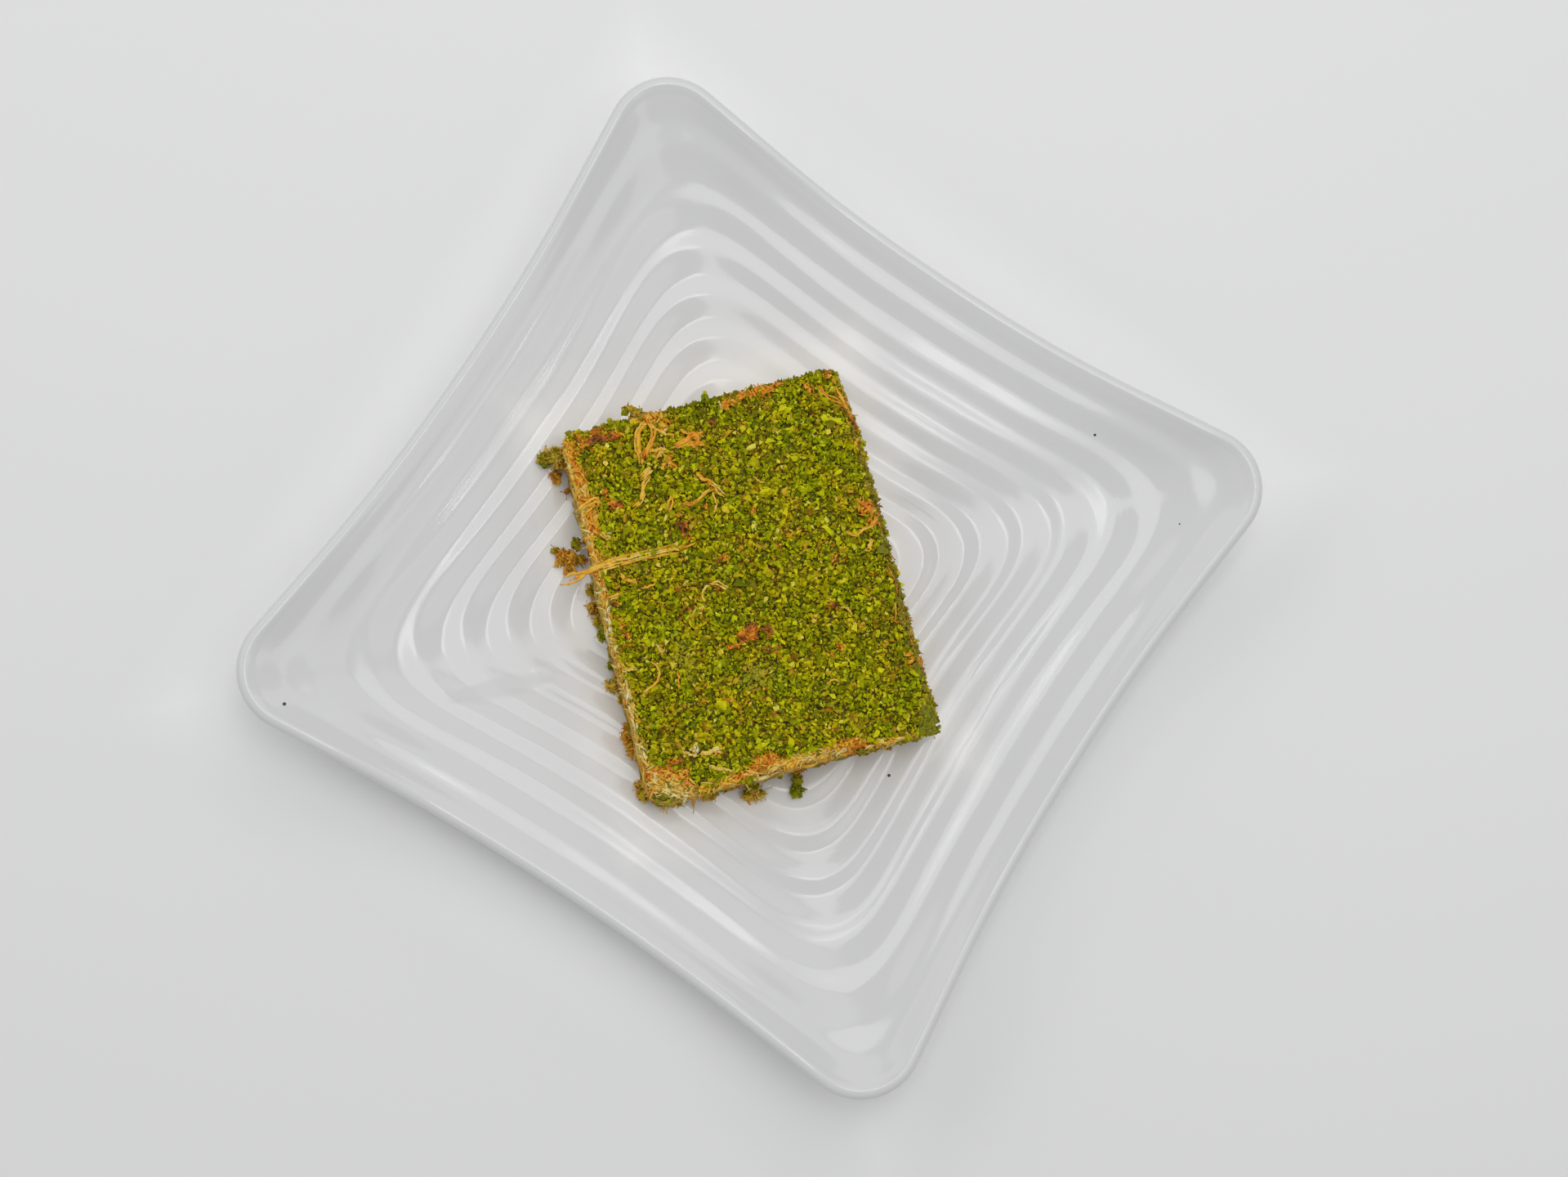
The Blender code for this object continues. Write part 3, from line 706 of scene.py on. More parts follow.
def strand_pattern(sides, knots):
    """A strip one unit long, cut across at each knot and narrowed at its ends."""
    deselect_all()
    bpy.ops.mesh.primitive_cylinder_add(
        vertices=sides,
        radius=0.5,
        depth=1.0,
        location=(0.5, 0, 0),
        rotation=(0, QUARTER, 0),
        end_fill_type="NGON",
    )
    strip = bpy.context.object
    bpy.ops.object.transform_apply(location=True, rotation=True)
    bpy.ops.object.mode_set(mode="EDIT")
    for knot in range(1, knots - 1):
        cut_across((knot / (knots - 1), 0, 0), (1, 0, 0))
    bpy.ops.object.mode_set(mode="OBJECT")
    for end in (0.0, 1.0):
        for vertex in strip.data.vertices:
            vertex.select = abs(vertex.co.x - end) < 0.01
        bpy.ops.object.mode_set(mode="EDIT")
        bpy.ops.transform.resize(value=(1, 0.5, 0.5), center_override=(end, 0, 0))
        bpy.ops.object.mode_set(mode="OBJECT")
    return take_as_pattern(strip)


def turn_matrices(rng, count):
    """Random turns, each as a matrix."""
    quaternion = rng.normal(size=(count, 4))
    w, x, y, z = (quaternion / np.linalg.norm(quaternion, axis=1, keepdims=True)).T
    rows = (
        (1 - 2 * (y * y + z * z), 2 * (x * y - z * w), 2 * (x * z + y * w)),
        (2 * (x * y + z * w), 1 - 2 * (x * x + z * z), 2 * (y * z - x * w)),
        (2 * (x * z - y * w), 2 * (y * z + x * w), 1 - 2 * (x * x + y * y)),
    )
    return np.stack([np.stack(row, axis=1) for row in rows], axis=1)


def lay_crumbs(patterns, places, sizes, values, seed):
    """A copy of a pattern at each place of the slice, turned at random and unevenly stretched."""
    places = to_plate(places)
    rng = np.random.default_rng(seed)
    copies = []
    which = rng.integers(0, len(patterns), len(places))
    for i, (shape, faces) in enumerate(patterns):
        chosen = which == i
        count = int(chosen.sum())
        if not count:
            continue
        stretched = shape[None] * (sizes[chosen, None, None] * rng.uniform(0.6, 1.35, (count, 1, 3)))
        points = np.einsum("nij,nvj->nvi", turn_matrices(rng, count), stretched) + places[chosen, None]
        copies.append(repeated(points, faces, {key: value[chosen] for key, value in values.items()}))
    return join_copies(copies)


def crumb_sizes(rng, count, usual, spread, least, most):
    return np.clip(rng.lognormal(math.log(usual), spread, count), least, most) * MM


def some_tints(rng, count, usual, spread):
    return np.clip(rng.normal(usual, spread, count), 0, 1)


def lay_strands(pattern, paths, widths, thicknesses, values, seed):
    """A copy of the strip along each path of the slice. Paths hold the same number of knots each."""
    paths = to_plate(paths)
    rng = np.random.default_rng(seed)
    shape, faces = pattern
    count, knots = paths.shape[:2]
    place = shape[:, 0] * (knots - 1)
    before = np.clip(np.floor(place).astype(int), 0, knots - 2)
    share = (place - before)[None, :, None]
    spine = paths[:, before] * (1 - share) + paths[:, before + 1] * share
    ways = np.gradient(paths, axis=1)
    ahead = ways[:, before] * (1 - share) + ways[:, before + 1] * share
    ahead /= np.maximum(np.linalg.norm(ahead, axis=2, keepdims=True), 1e-12)
    side = np.cross(ahead, np.array([0.12, 0.2, 1.0]))
    side /= np.linalg.norm(side, axis=2, keepdims=True)
    lift = np.cross(side, ahead)
    roll = rng.uniform(-0.7, 0.7, (count, 1, 1))
    roll = roll + rng.uniform(-0.8, 0.8, (count, 1, 1)) * shape[None, :, :1]
    wide = side * np.cos(roll) + lift * np.sin(roll)
    thick = lift * np.cos(roll) - side * np.sin(roll)
    uneven = 1 + 0.32 * rng.uniform(-1, 1, (count, knots))[:, before][..., None]
    points = spine + wide * shape[None, :, 1:2] * widths[:, None, None] * uneven
    points = points + thick * shape[None, :, 2:3] * thicknesses[:, None, None] * uneven
    return repeated(points, faces, values)


def strand_piece(name, pattern, paths, widths, thicknesses, tints, soak, seed):
    """A piece made of strips, each with its tint and how far it is soaked in syrup."""
    values = {"tint": np.clip(tints, 0, 1), "soak": np.clip(soak, 0, 1)}
    return piece_from(name, lay_strands(pattern, paths, widths, thicknesses, values, seed), smooth=True)


def curled_lines(rng, middle_x, middle_y, turn, length, curliness):
    """The knots of short curled strips, each round its middle."""
    reach = length[:, None] * KNOT_SHARES
    curl = rng.normal(0, curliness, (len(turn), 1)) * length[:, None] * (KNOT_SHARES**2 - 0.08)
    cos, sin = np.cos(turn)[:, None], np.sin(turn)[:, None]
    return middle_x[:, None] + reach * cos - curl * sin, middle_y[:, None] + reach * sin + curl * cos


def smooth_path(corners, knots):
    """A smooth curve through the corners, with evenly spaced knots."""
    corners = np.asarray(corners, float)
    padded = np.concatenate([2 * corners[:1] - corners[1:2], corners, 2 * corners[-1:] - corners[-2:-1]])
    t = np.linspace(0, len(corners) - 1, knots)
    i = np.clip(np.floor(t).astype(int), 0, len(corners) - 2)
    t = (t - i)[:, None]
    p0, p1, p2, p3 = (padded[i + k] for k in range(4))
    curve = 2 * p1 + (p2 - p0) * t + (2 * p0 - 5 * p1 + 4 * p2 - p3) * t**2
    return 0.5 * (curve + (3 * p1 - p0 - 3 * p2 + p3) * t**3)


# Strips of pastry in the cut sides and the crust


def wall_paths(rng, along, level, out, length, tilt, bow):
    """Paths lying in the cut sides."""
    round_way, rise = curled_lines(rng, along, np.zeros(len(along)), tilt, length, 0.35)
    levels = level[:, None] + rise / WALL_HEIGHT
    outs = out[:, None] + bow[:, None] * (4 * KNOT_SHARES**2 - 0.5)
    outs = outs + rng.normal(0, 0.12 * MM, outs.shape)
    return wall_place(round_way, np.clip(levels, 0.03, 1.04), outs)


def model_wall_strands(pattern):
    """The shredded pastry of the cut sides, from syrupy at the plate to toasted under the crumbs."""
    rng = np.random.default_rng(21)
    count = 4600
    along = rng.uniform(0, LENGTH_ROUND[-1], count)
    level = rng.uniform(0.02, 1.0, count) ** 0.9
    out = rng.uniform(-0.75, 0.3, count) * MM
    length = rng.uniform(2.5, 9.0, count) * MM
    tilt = rng.normal(0, 0.55, count)
    bow = rng.normal(0.0, 0.35, count) * MM
    paths = wall_paths(rng, along, level, out, length, tilt, bow)
    width = rng.uniform(0.45, 0.95, count) * MM
    tint = 0.72 - 0.22 * level**2 + rng.normal(0, 0.10, count)
    tint = np.where(rng.random(count) < 0.10, rng.uniform(0.82, 0.98, count), tint)
    soak = (0.95 - level) / 0.55 + 0.25 * soft_noise(along, level * 12 * MM, 6 * MM, 24)
    soak = soak + rng.normal(0, 0.15, count)
    return strand_piece("wall_shreds", pattern, paths, width, 0.6 * width, tint, soak, 22)


# Bands of crust at the top edges, as lines in millimetres: from, to, half width, strips, tint, spread
CRUST_BANDS = (
    ((-32.6, 43.6), (-32.4, 33.0), 1.2, 220, 0.43, 0.10),
    ((-32.2, 33.0), (-32.6, 14.0), 1.4, 330, 0.46, 0.12),
    ((-33.8, 42.0), (-33.9, 12.0), 0.5, 150, 0.60, 0.12),
    ((-33.9, 14.0), (-34.2, 3.0), 0.9, 130, 0.56, 0.14),
    ((-34.4, 3.0), (-34.6, -36.0), 0.7, 250, 0.70, 0.15),
    ((-34.0, -37.4), (-25.6, -40.6), 1.7, 190, 0.42, 0.10),
    ((-34.6, -41.2), (-25.6, -44.4), 1.9, 330, 0.64, 0.17),
    ((-33.6, -38.6), (-30.6, -44.0), 1.0, 110, 0.70, 0.10),
    ((-31.0, -39.8), (-25.8, -42.4), 0.9, 80, 0.34, 0.08),
    ((-24.0, -44.8), (-9.6, -44.0), 0.9, 190, 0.46, 0.13),
    ((-9.6, -42.2), (-4.0, -42.6), 1.2, 150, 0.38, 0.06),
    ((-6.0, -43.9), (0.4, -43.9), 1.0, 140, 0.54, 0.10),
    ((0.0, -43.6), (12.4, -43.9), 1.0, 220, 0.68, 0.12),
    ((12.2, -43.3), (17.8, -43.9), 1.0, 120, 0.31, 0.08),
    ((18.0, -45.3), (34.0, -45.6), 0.4, 120, 0.52, 0.14),
    ((-32.0, 43.4), (-19.5, 44.3), 1.0, 130, 0.20, 0.08),
    ((-17.0, 45.0), (-9.0, 44.6), 0.9, 80, 0.36, 0.12),
    ((5.5, 44.0), (10.0, 44.6), 1.0, 60, 0.34, 0.10),
    ((10.0, 44.8), (21.0, 44.8), 0.7, 90, 0.30, 0.10),
    ((35.2, 42.0), (35.6, -40.0), 0.8, 330, 0.36, 0.14),
)


def model_crust_strands(pattern):
    """The toasted strips of the crust along the top edges."""
    rng = np.random.default_rng(31)
    all_paths, tints = [], []
    for start, end, spread, count, tint, variety in CRUST_BANDS:
        share = rng.uniform(0, 1, count)
        middle = np.outer(1 - share, start) + np.outer(share, end)
        way = math.atan2(end[1] - start[1], end[0] - start[0])
        sideways = rng.uniform(-1, 1, count)
        middle[:, 0] -= sideways * spread * math.sin(way)
        middle[:, 1] += sideways * spread * math.cos(way)
        turn = way + rng.normal(0, 0.6, count)
        length = rng.uniform(1.4, 4.2, count)
        x, y = curled_lines(rng, middle[:, 0], middle[:, 1], turn, length, 0.4)
        x, y = x * MM, y * MM
        past = np.maximum(np.abs(x) - HALF_WIDTH, np.abs(y) - HALF_LENGTH)
        top = rng.uniform(-0.3, 1.6, (count, 1)) * MM
        z = crust_height(x, y) + top - np.maximum(past, 0) * 1.2
        all_paths.append(np.stack([x, y, z + rng.normal(0, 0.1 * MM, z.shape)], axis=-1))
        tints.append(tint + rng.normal(0, variety, count))
    paths = np.concatenate(all_paths)
    width = rng.uniform(0.4, 0.95, len(paths)) * MM
    tints = np.concatenate(tints)
    return strand_piece("crust_shreds", pattern, paths, width, 0.6 * width, tints, 0 * width, 32)


# Loose strips on the crumbs, in millimetres: tint, threads side by side, width of each, path
LOOSE_STRIPS = (
    (0.50, 2, 0.70, ((-13.5, 44.2), (-16.3, 42.3), (-17.3, 38.6), (-17.2, 36.0), (-17.6, 33.8))),
    (0.42, 2, 0.75, ((-13.3, 43.8), (-12.5, 41.6), (-13.9, 39.0), (-15.4, 37.0), (-16.4, 35.6))),
    (0.54, 1, 0.75, ((-13.5, 43.1), (-11.4, 41.0), (-9.8, 39.8), (-8.6, 39.2), (-8.4, 38.1))),
    (0.40, 2, 0.70, ((-8.6, 36.8), (-5.6, 37.4), (-3.2, 38.4), (-2.5, 36.6), (-4.0, 35.5))),
    (0.50, 2, 0.60, ((-8.2, 36.4), (-5.6, 36.2), (-3.4, 36.0), (-0.8, 35.0))),
    (0.56, 1, 0.60, ((-6.2, 40.4), (-5.2, 39.0), (-3.4, 38.6))),
    (0.56, 1, 0.70, ((-16.2, 37.4), (-13.8, 37.2), (-12.0, 36.8), (-12.4, 35.8), (-13.8, 34.4))),
    (0.40, 2, 0.65, ((-10.3, 34.8), (-10.7, 33.2), (-9.8, 31.2))),
    (0.60, 3, 0.60, ((-15.4, 32.8), (-16.8, 32.0), (-18.2, 30.9))),
    (0.55, 2, 0.55, ((-16.0, 31.2), (-18.5, 29.1), (-19.3, 26.6), (-20.0, 25.4), (-22.0, 24.7))),
    (0.48, 1, 0.75, ((-4.9, 29.2), (-3.6, 27.4), (-2.6, 26.4), (-2.8, 24.8))),
    (0.56, 2, 0.65, ((-2.8, 26.4), (-1.6, 25.0), (-1.0, 23.6), (0.3, 22.0))),
    (0.46, 2, 0.60, ((-0.8, 24.0), (-3.4, 24.2), (-6.0, 22.9), (-8.0, 22.0), (-10.4, 22.2))),
    (0.66, 1, 0.60, ((-2.5, 23.4), (-2.3, 21.4), (-2.8, 19.4), (-4.2, 17.8))),
    (0.54, 2, 0.60, ((-12.4, 25.0), (-13.2, 23.2), (-14.4, 21.6))),
    (0.40, 1, 0.50, ((-13.0, 12.6), (-11.4, 12.3), (-9.6, 12.9))),
    (0.52, 2, 0.50, ((-29.0, 9.6), (-28.4, 8.2), (-27.0, 7.2), (-26.0, 6.2))),
    (0.58, 1, 0.50, ((-25.2, 5.2), (-23.2, 4.8), (-21.4, 5.4))),
    (0.52, 2, 0.50, ((-33.2, 4.8), (-31.4, 5.0), (-29.6, 5.0))),
    (0.58, 2, 0.55, ((-31.0, 20.6), (-30.4, 19.4), (-29.2, 18.8))),
    (0.50, 2, 0.60, ((-34.6, 36.6), (-33.0, 36.8), (-31.8, 36.0))),
    (0.44, 2, 0.60, ((-34.8, 27.4), (-32.4, 28.0), (-30.0, 28.6), (-29.2, 27.4))),
    (0.54, 1, 0.65, ((-34.6, 25.2), (-32.8, 26.4), (-31.2, 27.0))),
    (0.32, 2, 0.60, ((29.1, 42.4), (30.0, 40.2), (31.6, 38.4), (33.4, 37.0), (34.6, 34.6), (37.2, 33.6))),
    (0.28, 2, 0.60, ((33.0, 38.6), (34.4, 35.8), (35.6, 32.6), (36.6, 29.4))),
    (0.48, 1, 0.60, ((33.2, 38.8), (34.6, 38.2), (35.4, 38.6))),
    (0.40, 1, 0.60, ((33.0, 41.0), (33.8, 38.4), (34.4, 35.2), (34.2, 33.6))),
    (0.44, 1, 0.60, ((34.0, 25.6), (34.8, 27.2), (36.4, 28.4))),
    (0.32, 2, 0.55, ((30.6, 12.6), (32.2, 11.4), (33.2, 9.6), (33.6, 8.2))),
    (0.42, 2, 0.55, ((26.2, 5.8), (28.2, 4.9), (30.2, 5.6), (32.6, 6.0), (34.2, 7.0), (35.4, 8.4))),
    (0.56, 2, 0.55, ((31.9, 2.8), (31.4, 1.4), (30.4, 0.4), (29.2, 0.2))),
    (0.20, 1, 0.40, ((33.6, -4.4), (34.4, -8.4), (34.0, -12.4))),
    (0.34, 1, 0.45, ((33.2, -13.4), (32.6, -15.8), (31.8, -17.8))),
    (
        0.42, 1, 0.75,
        ((-27.4, -12.4), (-26.3, -14.2), (-26.2, -16.2), (-28.0, -17.8), (-30.0, -18.6), (-31.6, -19.6)),
    ),
    (0.56, 2, 0.50, ((-34.6, -12.8), (-32.6, -12.9), (-30.8, -13.2))),
    (0.58, 1, 0.50, ((-25.1, -8.6), (-24.5, -10.4), (-23.9, -11.8))),
    (0.66, 2, 0.50, ((-20.4, -40.0), (-18.4, -41.2), (-16.8, -41.8), (-14.8, -43.0))),
    (0.54, 2, 0.55, ((-21.6, -36.6), (-19.6, -36.9), (-18.0, -36.4), (-17.0, -36.8))),
    (0.66, 1, 0.50, ((-25.2, -35.2), (-24.0, -36.4), (-22.0, -37.2))),
    (0.22, 1, 0.60, ((-29.6, -36.2), (-28.2, -37.2), (-26.6, -37.8))),
    (0.60, 1, 0.50, ((-10.8, -1.6), (-11.2, 0.0), (-10.4, 1.4), (-8.8, 1.8))),
    (0.62, 2, 0.50, ((-8.4, 2.2), (-6.8, 1.6), (-5.2, 0.2), (-3.8, -0.9))),
    (0.56, 1, 0.45, ((8.4, 25.0), (9.4, 23.2), (10.6, 22.6))),
    (0.60, 1, 0.45, ((20.0, -11.0), (21.8, -12.2), (22.4, -14.0))),
    (0.56, 1, 0.45, ((12.0, -28.5), (13.8, -28.0), (15.4, -28.8))),
    (0.36, 1, 0.50, ((-22.0, -16.4), (-22.2, -18.8), (-23.0, -21.0))),
)

# The long flat strip across the crumbs, the tints of its threads, and its fork past the left edge
FLAT_STRIP = ((-33.4, 12.6), (-30.0, 12.8), (-26.0, 12.8), (-21.0, 12.7), (-16.0, 12.5), (-12.8, 12.2))
FLAT_STRIP_TINTS = (0.50, 0.64, 0.70, 0.60, 0.46)
FORK = (
    (0.46, ((-29.0, 12.9), (-33.0, 12.9), (-36.5, 12.2), (-40.0, 10.9), (-43.5, 11.0))),
    (0.50, ((-29.0, 13.1), (-33.0, 13.0), (-37.0, 12.7), (-40.0, 12.4), (-42.4, 12.8))),
    (0.42, ((-30.0, 13.0), (-34.0, 12.6), (-38.0, 11.9), (-41.0, 11.5))),
)
# Strips low beside the slice: tint, width, and places as x, y and height over the plate
LOW_STRIPS = (
    (0.40, 0.7, ((-25.4, -45.6, 6.0), (-25.8, -47.6, 4.0), (-26.2, -49.8, 1.8))),
    (0.34, 0.8, ((-41.2, 13.9, 3.6), (-41.6, 15.6, 2.8), (-40.4, 17.2, 2.4))),
    (0.38, 0.7, ((-38.6, 14.2, 3.2), (-39.2, 15.8, 2.6), (-40.0, 17.6, 2.6))),
    (0.52, 0.7, ((-38.6, -14.6, 2.6), (-37.2, -14.8, 3.4), (-35.6, -14.4, 4.6))),
    (0.30, 0.7, ((-1.2, -45.6, 6.0), (0.4, -46.9, 5.0), (2.2, -46.4, 5.4))),
)


def resting_path(corners, shift, lift):
    """A smooth path that lies on the crumbs, and hangs a little lower where it runs out past the edge."""
    corners = np.asarray(corners) * MM
    way = corners[-1] - corners[0]
    away = np.array([-way[1], way[0]]) / np.linalg.norm(way)
    flat = smooth_path(corners, LONG_KNOTS) + shift * away
    x, y = flat[:, 0], flat[:, 1]
    over = np.maximum(-x - 33.5 * MM, 0.0) + 0.8 * np.maximum(x - HALF_WIDTH, 0.0)
    z = crumb_height(np.maximum(x, -33 * MM), y) + lift - 0.16 * over - 9.0 * over**2
    return np.stack([x, y, z], axis=1)


def model_loose_strips(pattern):
    """The strips that lie on the crumbs, each as one or more threads side by side."""
    rng = np.random.default_rng(41)
    threads = []

    def add(corners, shift, lift, width, thickness, tint):
        corners = np.asarray(corners) + rng.normal(0, 0.14, (len(corners), 2))
        path = resting_path(corners, shift, lift)
        path[:, 2] += np.sin(math.pi * np.linspace(0, 1, LONG_KNOTS)) * rng.uniform(0.1, 0.5) * MM
        path += rng.normal(0, 0.08 * MM, path.shape)
        threads.append((path, width, thickness, tint))

    for tint, count, width, corners in LOOSE_STRIPS:
        for thread in range(count):
            shift = (thread - (count - 1) / 2) * 0.75 * width * MM + rng.normal(0, 0.08) * MM
            lift = rng.uniform(0.2, 0.5) * MM
            wide = rng.uniform(0.8, 1.45) * width * MM
            add(corners, shift, lift, wide, 0.6 * width * MM, tint + rng.normal(0, 0.06))
    for thread, tint in enumerate(FLAT_STRIP_TINTS):
        add(FLAT_STRIP, (thread - 2) * 0.46 * MM, 0.4 * MM, 0.6 * MM, 0.3 * MM, tint)
    for tint, corners in FORK:
        add(corners, 0.0, 0.35 * MM, 0.72 * MM, 0.45 * MM, tint)
    paths, widths, thicknesses, tints = (np.array(column) for column in zip(*threads))
    return strand_piece("loose_shreds", pattern, paths, widths, thicknesses, tints, 0 * tints, 42)


# Bits of toasted pastry among the crumbs, in millimetres: middle, half sizes, bits, tint, spread, length
TOASTED_BITS = (
    ((-3.4, -11.8), (1.9, 1.3), 62, 0.21, 0.04, 1.6),
    ((-1.4, -10.8), (1.4, 0.8), 20, 0.22, 0.05, 1.5),
    ((1.9, -12.6), (0.8, 1.5), 16, 0.16, 0.05, 1.4),
    ((-7.0, -13.8), (1.6, 0.4), 5, 0.20, 0.05, 1.2),
    ((2.0, -17.0), (1.6, 0.7), 8, 0.12, 0.07, 1.2),
    ((-3.6, 37.0), (1.9, 1.3), 16, 0.38, 0.08, 2.0),
    ((-12.8, 36.2), (1.8, 1.0), 8, 0.56, 0.10, 1.8),
    ((-12.6, 33.2), (2.2, 1.2), 8, 0.48, 0.10, 1.4),
    ((-12.0, 44.4), (2.6, 1.0), 20, 0.46, 0.12, 2.0),
    ((-9.6, 43.2), (0.9, 2.2), 10, 0.40, 0.10, 2.0),
    ((-25.5, 43.2), (5.5, 1.3), 70, 0.14, 0.06, 1.8),
    ((-29.6, 41.6), (2.0, 1.2), 16, 0.26, 0.10, 1.6),
    ((-27.6, 29.2), (1.0, 1.0), 8, 0.14, 0.06, 1.4),
    ((-26.0, 26.4), (1.8, 0.8), 14, 0.16, 0.06, 1.5),
    ((-30.8, 28.2), (1.4, 1.2), 12, 0.44, 0.08, 2.0),
    ((-11.8, 17.2), (1.2, 1.4), 12, 0.15, 0.05, 1.5),
    ((-11.4, 14.8), (0.9, 0.6), 5, 0.22, 0.05, 1.3),
    ((-5.0, 20.8), (0.5, 0.5), 3, 0.24, 0.05, 1.2),
    ((7.0, 43.6), (1.6, 0.8), 16, 0.36, 0.06, 1.8),
    ((14.5, 44.8), (5.5, 0.7), 36, 0.32, 0.07, 1.8),
    ((26.8, 43.0), (0.9, 1.4), 10, 0.30, 0.08, 1.5),
    ((32.4, 44.4), (1.2, 0.8), 10, 0.24, 0.08, 1.4),
    ((1.2, 40.6), (1.1, 0.7), 8, 0.10, 0.05, 1.2),
    ((5.4, 19.8), (0.9, 0.7), 5, 0.44, 0.05, 1.2),
    ((5.4, 16.7), (0.7, 0.7), 4, 0.46, 0.05, 1.2),
    ((-4.4, 7.3), (1.4, 0.8), 7, 0.16, 0.05, 1.2),
    ((9.2, 7.2), (0.9, 0.8), 6, 0.22, 0.06, 1.3),
    ((21.8, 0.2), (1.0, 1.2), 7, 0.12, 0.10, 1.2),
    ((-16.0, -2.4), (1.1, 0.7), 6, 0.10, 0.05, 1.1),
    ((18.2, -10.6), (1.4, 0.8), 8, 0.14, 0.06, 1.3),
    ((18.0, -20.6), (1.0, 1.0), 6, 0.26, 0.08, 1.3),
    ((33.0, -27.4), (0.9, 1.4), 10, 0.32, 0.08, 1.5),
    ((32.2, 10.8), (1.4, 1.6), 18, 0.31, 0.05, 1.7),
    ((33.8, 7.0), (1.4, 0.9), 10, 0.33, 0.08, 1.8),
    ((13.6, -12.2), (0.5, 1.1), 4, 0.56, 0.05, 1.3),
    ((-24.2, -9.8), (0.5, 1.3), 5, 0.46, 0.08, 1.5),
    ((-31.6, -6.0), (0.8, 1.4), 6, 0.30, 0.10, 1.3),
    ((-32.2, -1.8), (1.0, 1.4), 8, 0.30, 0.10, 1.4),
    ((-32.0, 3.4), (0.9, 0.9), 6, 0.26, 0.08, 1.3),
    ((-24.5, -35.6), (3.0, 0.8), 13, 0.72, 0.08, 1.0),
    ((-28.0, -36.9), (1.8, 0.6), 9, 0.20, 0.08, 1.5),
    ((-18.6, -37.4), (1.8, 0.7), 7, 0.50, 0.08, 1.4),
    ((4.6, 43.9), (0.5, 0.9), 4, 0.70, 0.05, 1.4),
    ((-27.5, 13.2), (5.0, 0.9), 16, 0.52, 0.10, 1.3),
    ((-6.6, -41.8), (2.4, 0.7), 26, 0.31, 0.05, 2.2),
    ((-29.9, 19.6), (0.8, 0.6), 4, 0.62, 0.05, 1.5),
    ((12.4, -43.2), (5.0, 0.4), 14, 0.40, 0.14, 1.5),
)


def model_toasted_bits(pattern):
    """Short torn bits of crust, lying on the crumbs and partly between them."""
    rng = np.random.default_rng(81)
    paths, tints = [], []
    for middle, half, count, tint, variety, reach in TOASTED_BITS:
        centre = (np.array(middle) + rng.uniform(-1, 1, (count, 2)) * np.array(half)) * MM
        turn = rng.uniform(0, math.pi, count)
        length = reach * rng.uniform(0.6, 1.5, count) * MM
        x, y = curled_lines(rng, centre[:, 0], centre[:, 1], turn, length, 0.5)
        tilt = rng.normal(0, 0.25, (count, 1)) * length[:, None] * KNOT_SHARES
        z = crumb_height(x, y) + rng.uniform(0.1, 0.6, (count, 1)) * MM + tilt
        paths.append(np.stack([x, y, z], axis=-1))
        tints.append(tint + rng.normal(0, variety, count))
    paths = np.concatenate(paths)
    width = rng.uniform(0.5, 1.05, len(paths)) * MM
    tints = np.concatenate(tints)
    return strand_piece("toasted_bits", pattern, paths, width, 0.55 * width, tints, 0 * width, 82)


# Ground pistachio

# Larger flakes of nut on the crumbs, in millimetres: place, length, width, turn in degrees, tint
FLAKES = (
    ((29.0, 34.4), 2.6, 1.5, -30, 0.86),
    ((31.2, 33.0), 2.0, 1.3, -35, 0.84),
    ((28.6, 31.2), 1.4, 1.2, 10, 0.95),
    ((9.2, 31.8), 2.2, 1.8, -40, 0.97),
    ((3.2, 35.2), 1.9, 1.6, 20, 0.80),
    ((14.2, 32.2), 2.4, 1.3, 5, 0.80),
    ((16.6, 31.2), 1.8, 1.2, 0, 0.82),
    ((13.6, 14.6), 3.0, 1.1, 65, 0.86),
    ((-0.6, 19.0), 2.0, 1.1, -40, 0.88),
    ((9.6, 20.6), 2.2, 1.1, 10, 0.84),
    ((22.8, 7.2), 3.0, 1.0, -55, 0.80),
    ((-15.2, 20.2), 1.2, 1.1, 0, 0.98),
    ((-22.6, 12.0), 2.6, 1.0, -60, 0.80),
    ((15.6, -24.6), 1.5, 1.3, 30, 0.86),
    ((22.8, -5.2), 1.9, 1.2, 10, 0.90),
    ((22.2, -17.2), 1.7, 1.3, 70, 0.88),
    ((-13.6, -26.2), 2.8, 1.4, -60, 0.82),
    ((-7.4, -38.8), 2.2, 1.2, 10, 0.84),
    ((25.6, -28.2), 1.9, 1.1, -30, 0.86),
    ((4.2, -15.6), 2.4, 0.9, -70, 0.84),
    ((-3.4, -18.2), 2.6, 1.0, 15, 0.80),
    ((-29.6, -23.4), 2.0, 1.1, 20, 0.84),
    ((-28.6, -32.6), 2.2, 1.3, -40, 0.66),
    ((-1.8, 0.2), 4.2, 2.2, -20, 0.46),
    ((0.6, -0.8), 2.6, 1.8, -30, 0.43),
    ((28.0, 20.4), 1.7, 1.1, 20, 0.84),
    ((20.6, 38.8), 1.7, 1.2, -20, 0.84),
    ((-5.4, 30.4), 1.8, 1.1, 50, 0.82),
    ((6.2, -6.0), 1.8, 1.0, 0, 0.84),
)

# Where the crumbs differ, in millimetres: middle, half sizes, tint, dullness
CRUMB_DRIFTS = (
    ((-0.8, -0.4), (2.8, 1.6), 0.50, 0.0),
    ((-4.0, -22.4), (3.6, 2.8), 0.74, 0.85),
    ((-20.0, -13.0), (2.2, 4.6), 0.72, 0.6),
    ((-27.0, 11.6), (6.0, 1.0), 0.36, 0.2),
    ((35.2, 22.0), (0.9, 26.0), 0.40, 0.6),
    ((35.0, -18.0), (1.3, 30.0), 0.40, 0.8),
    ((0.0, 45.6), (36.0, 0.7), 0.50, 0.0),
)


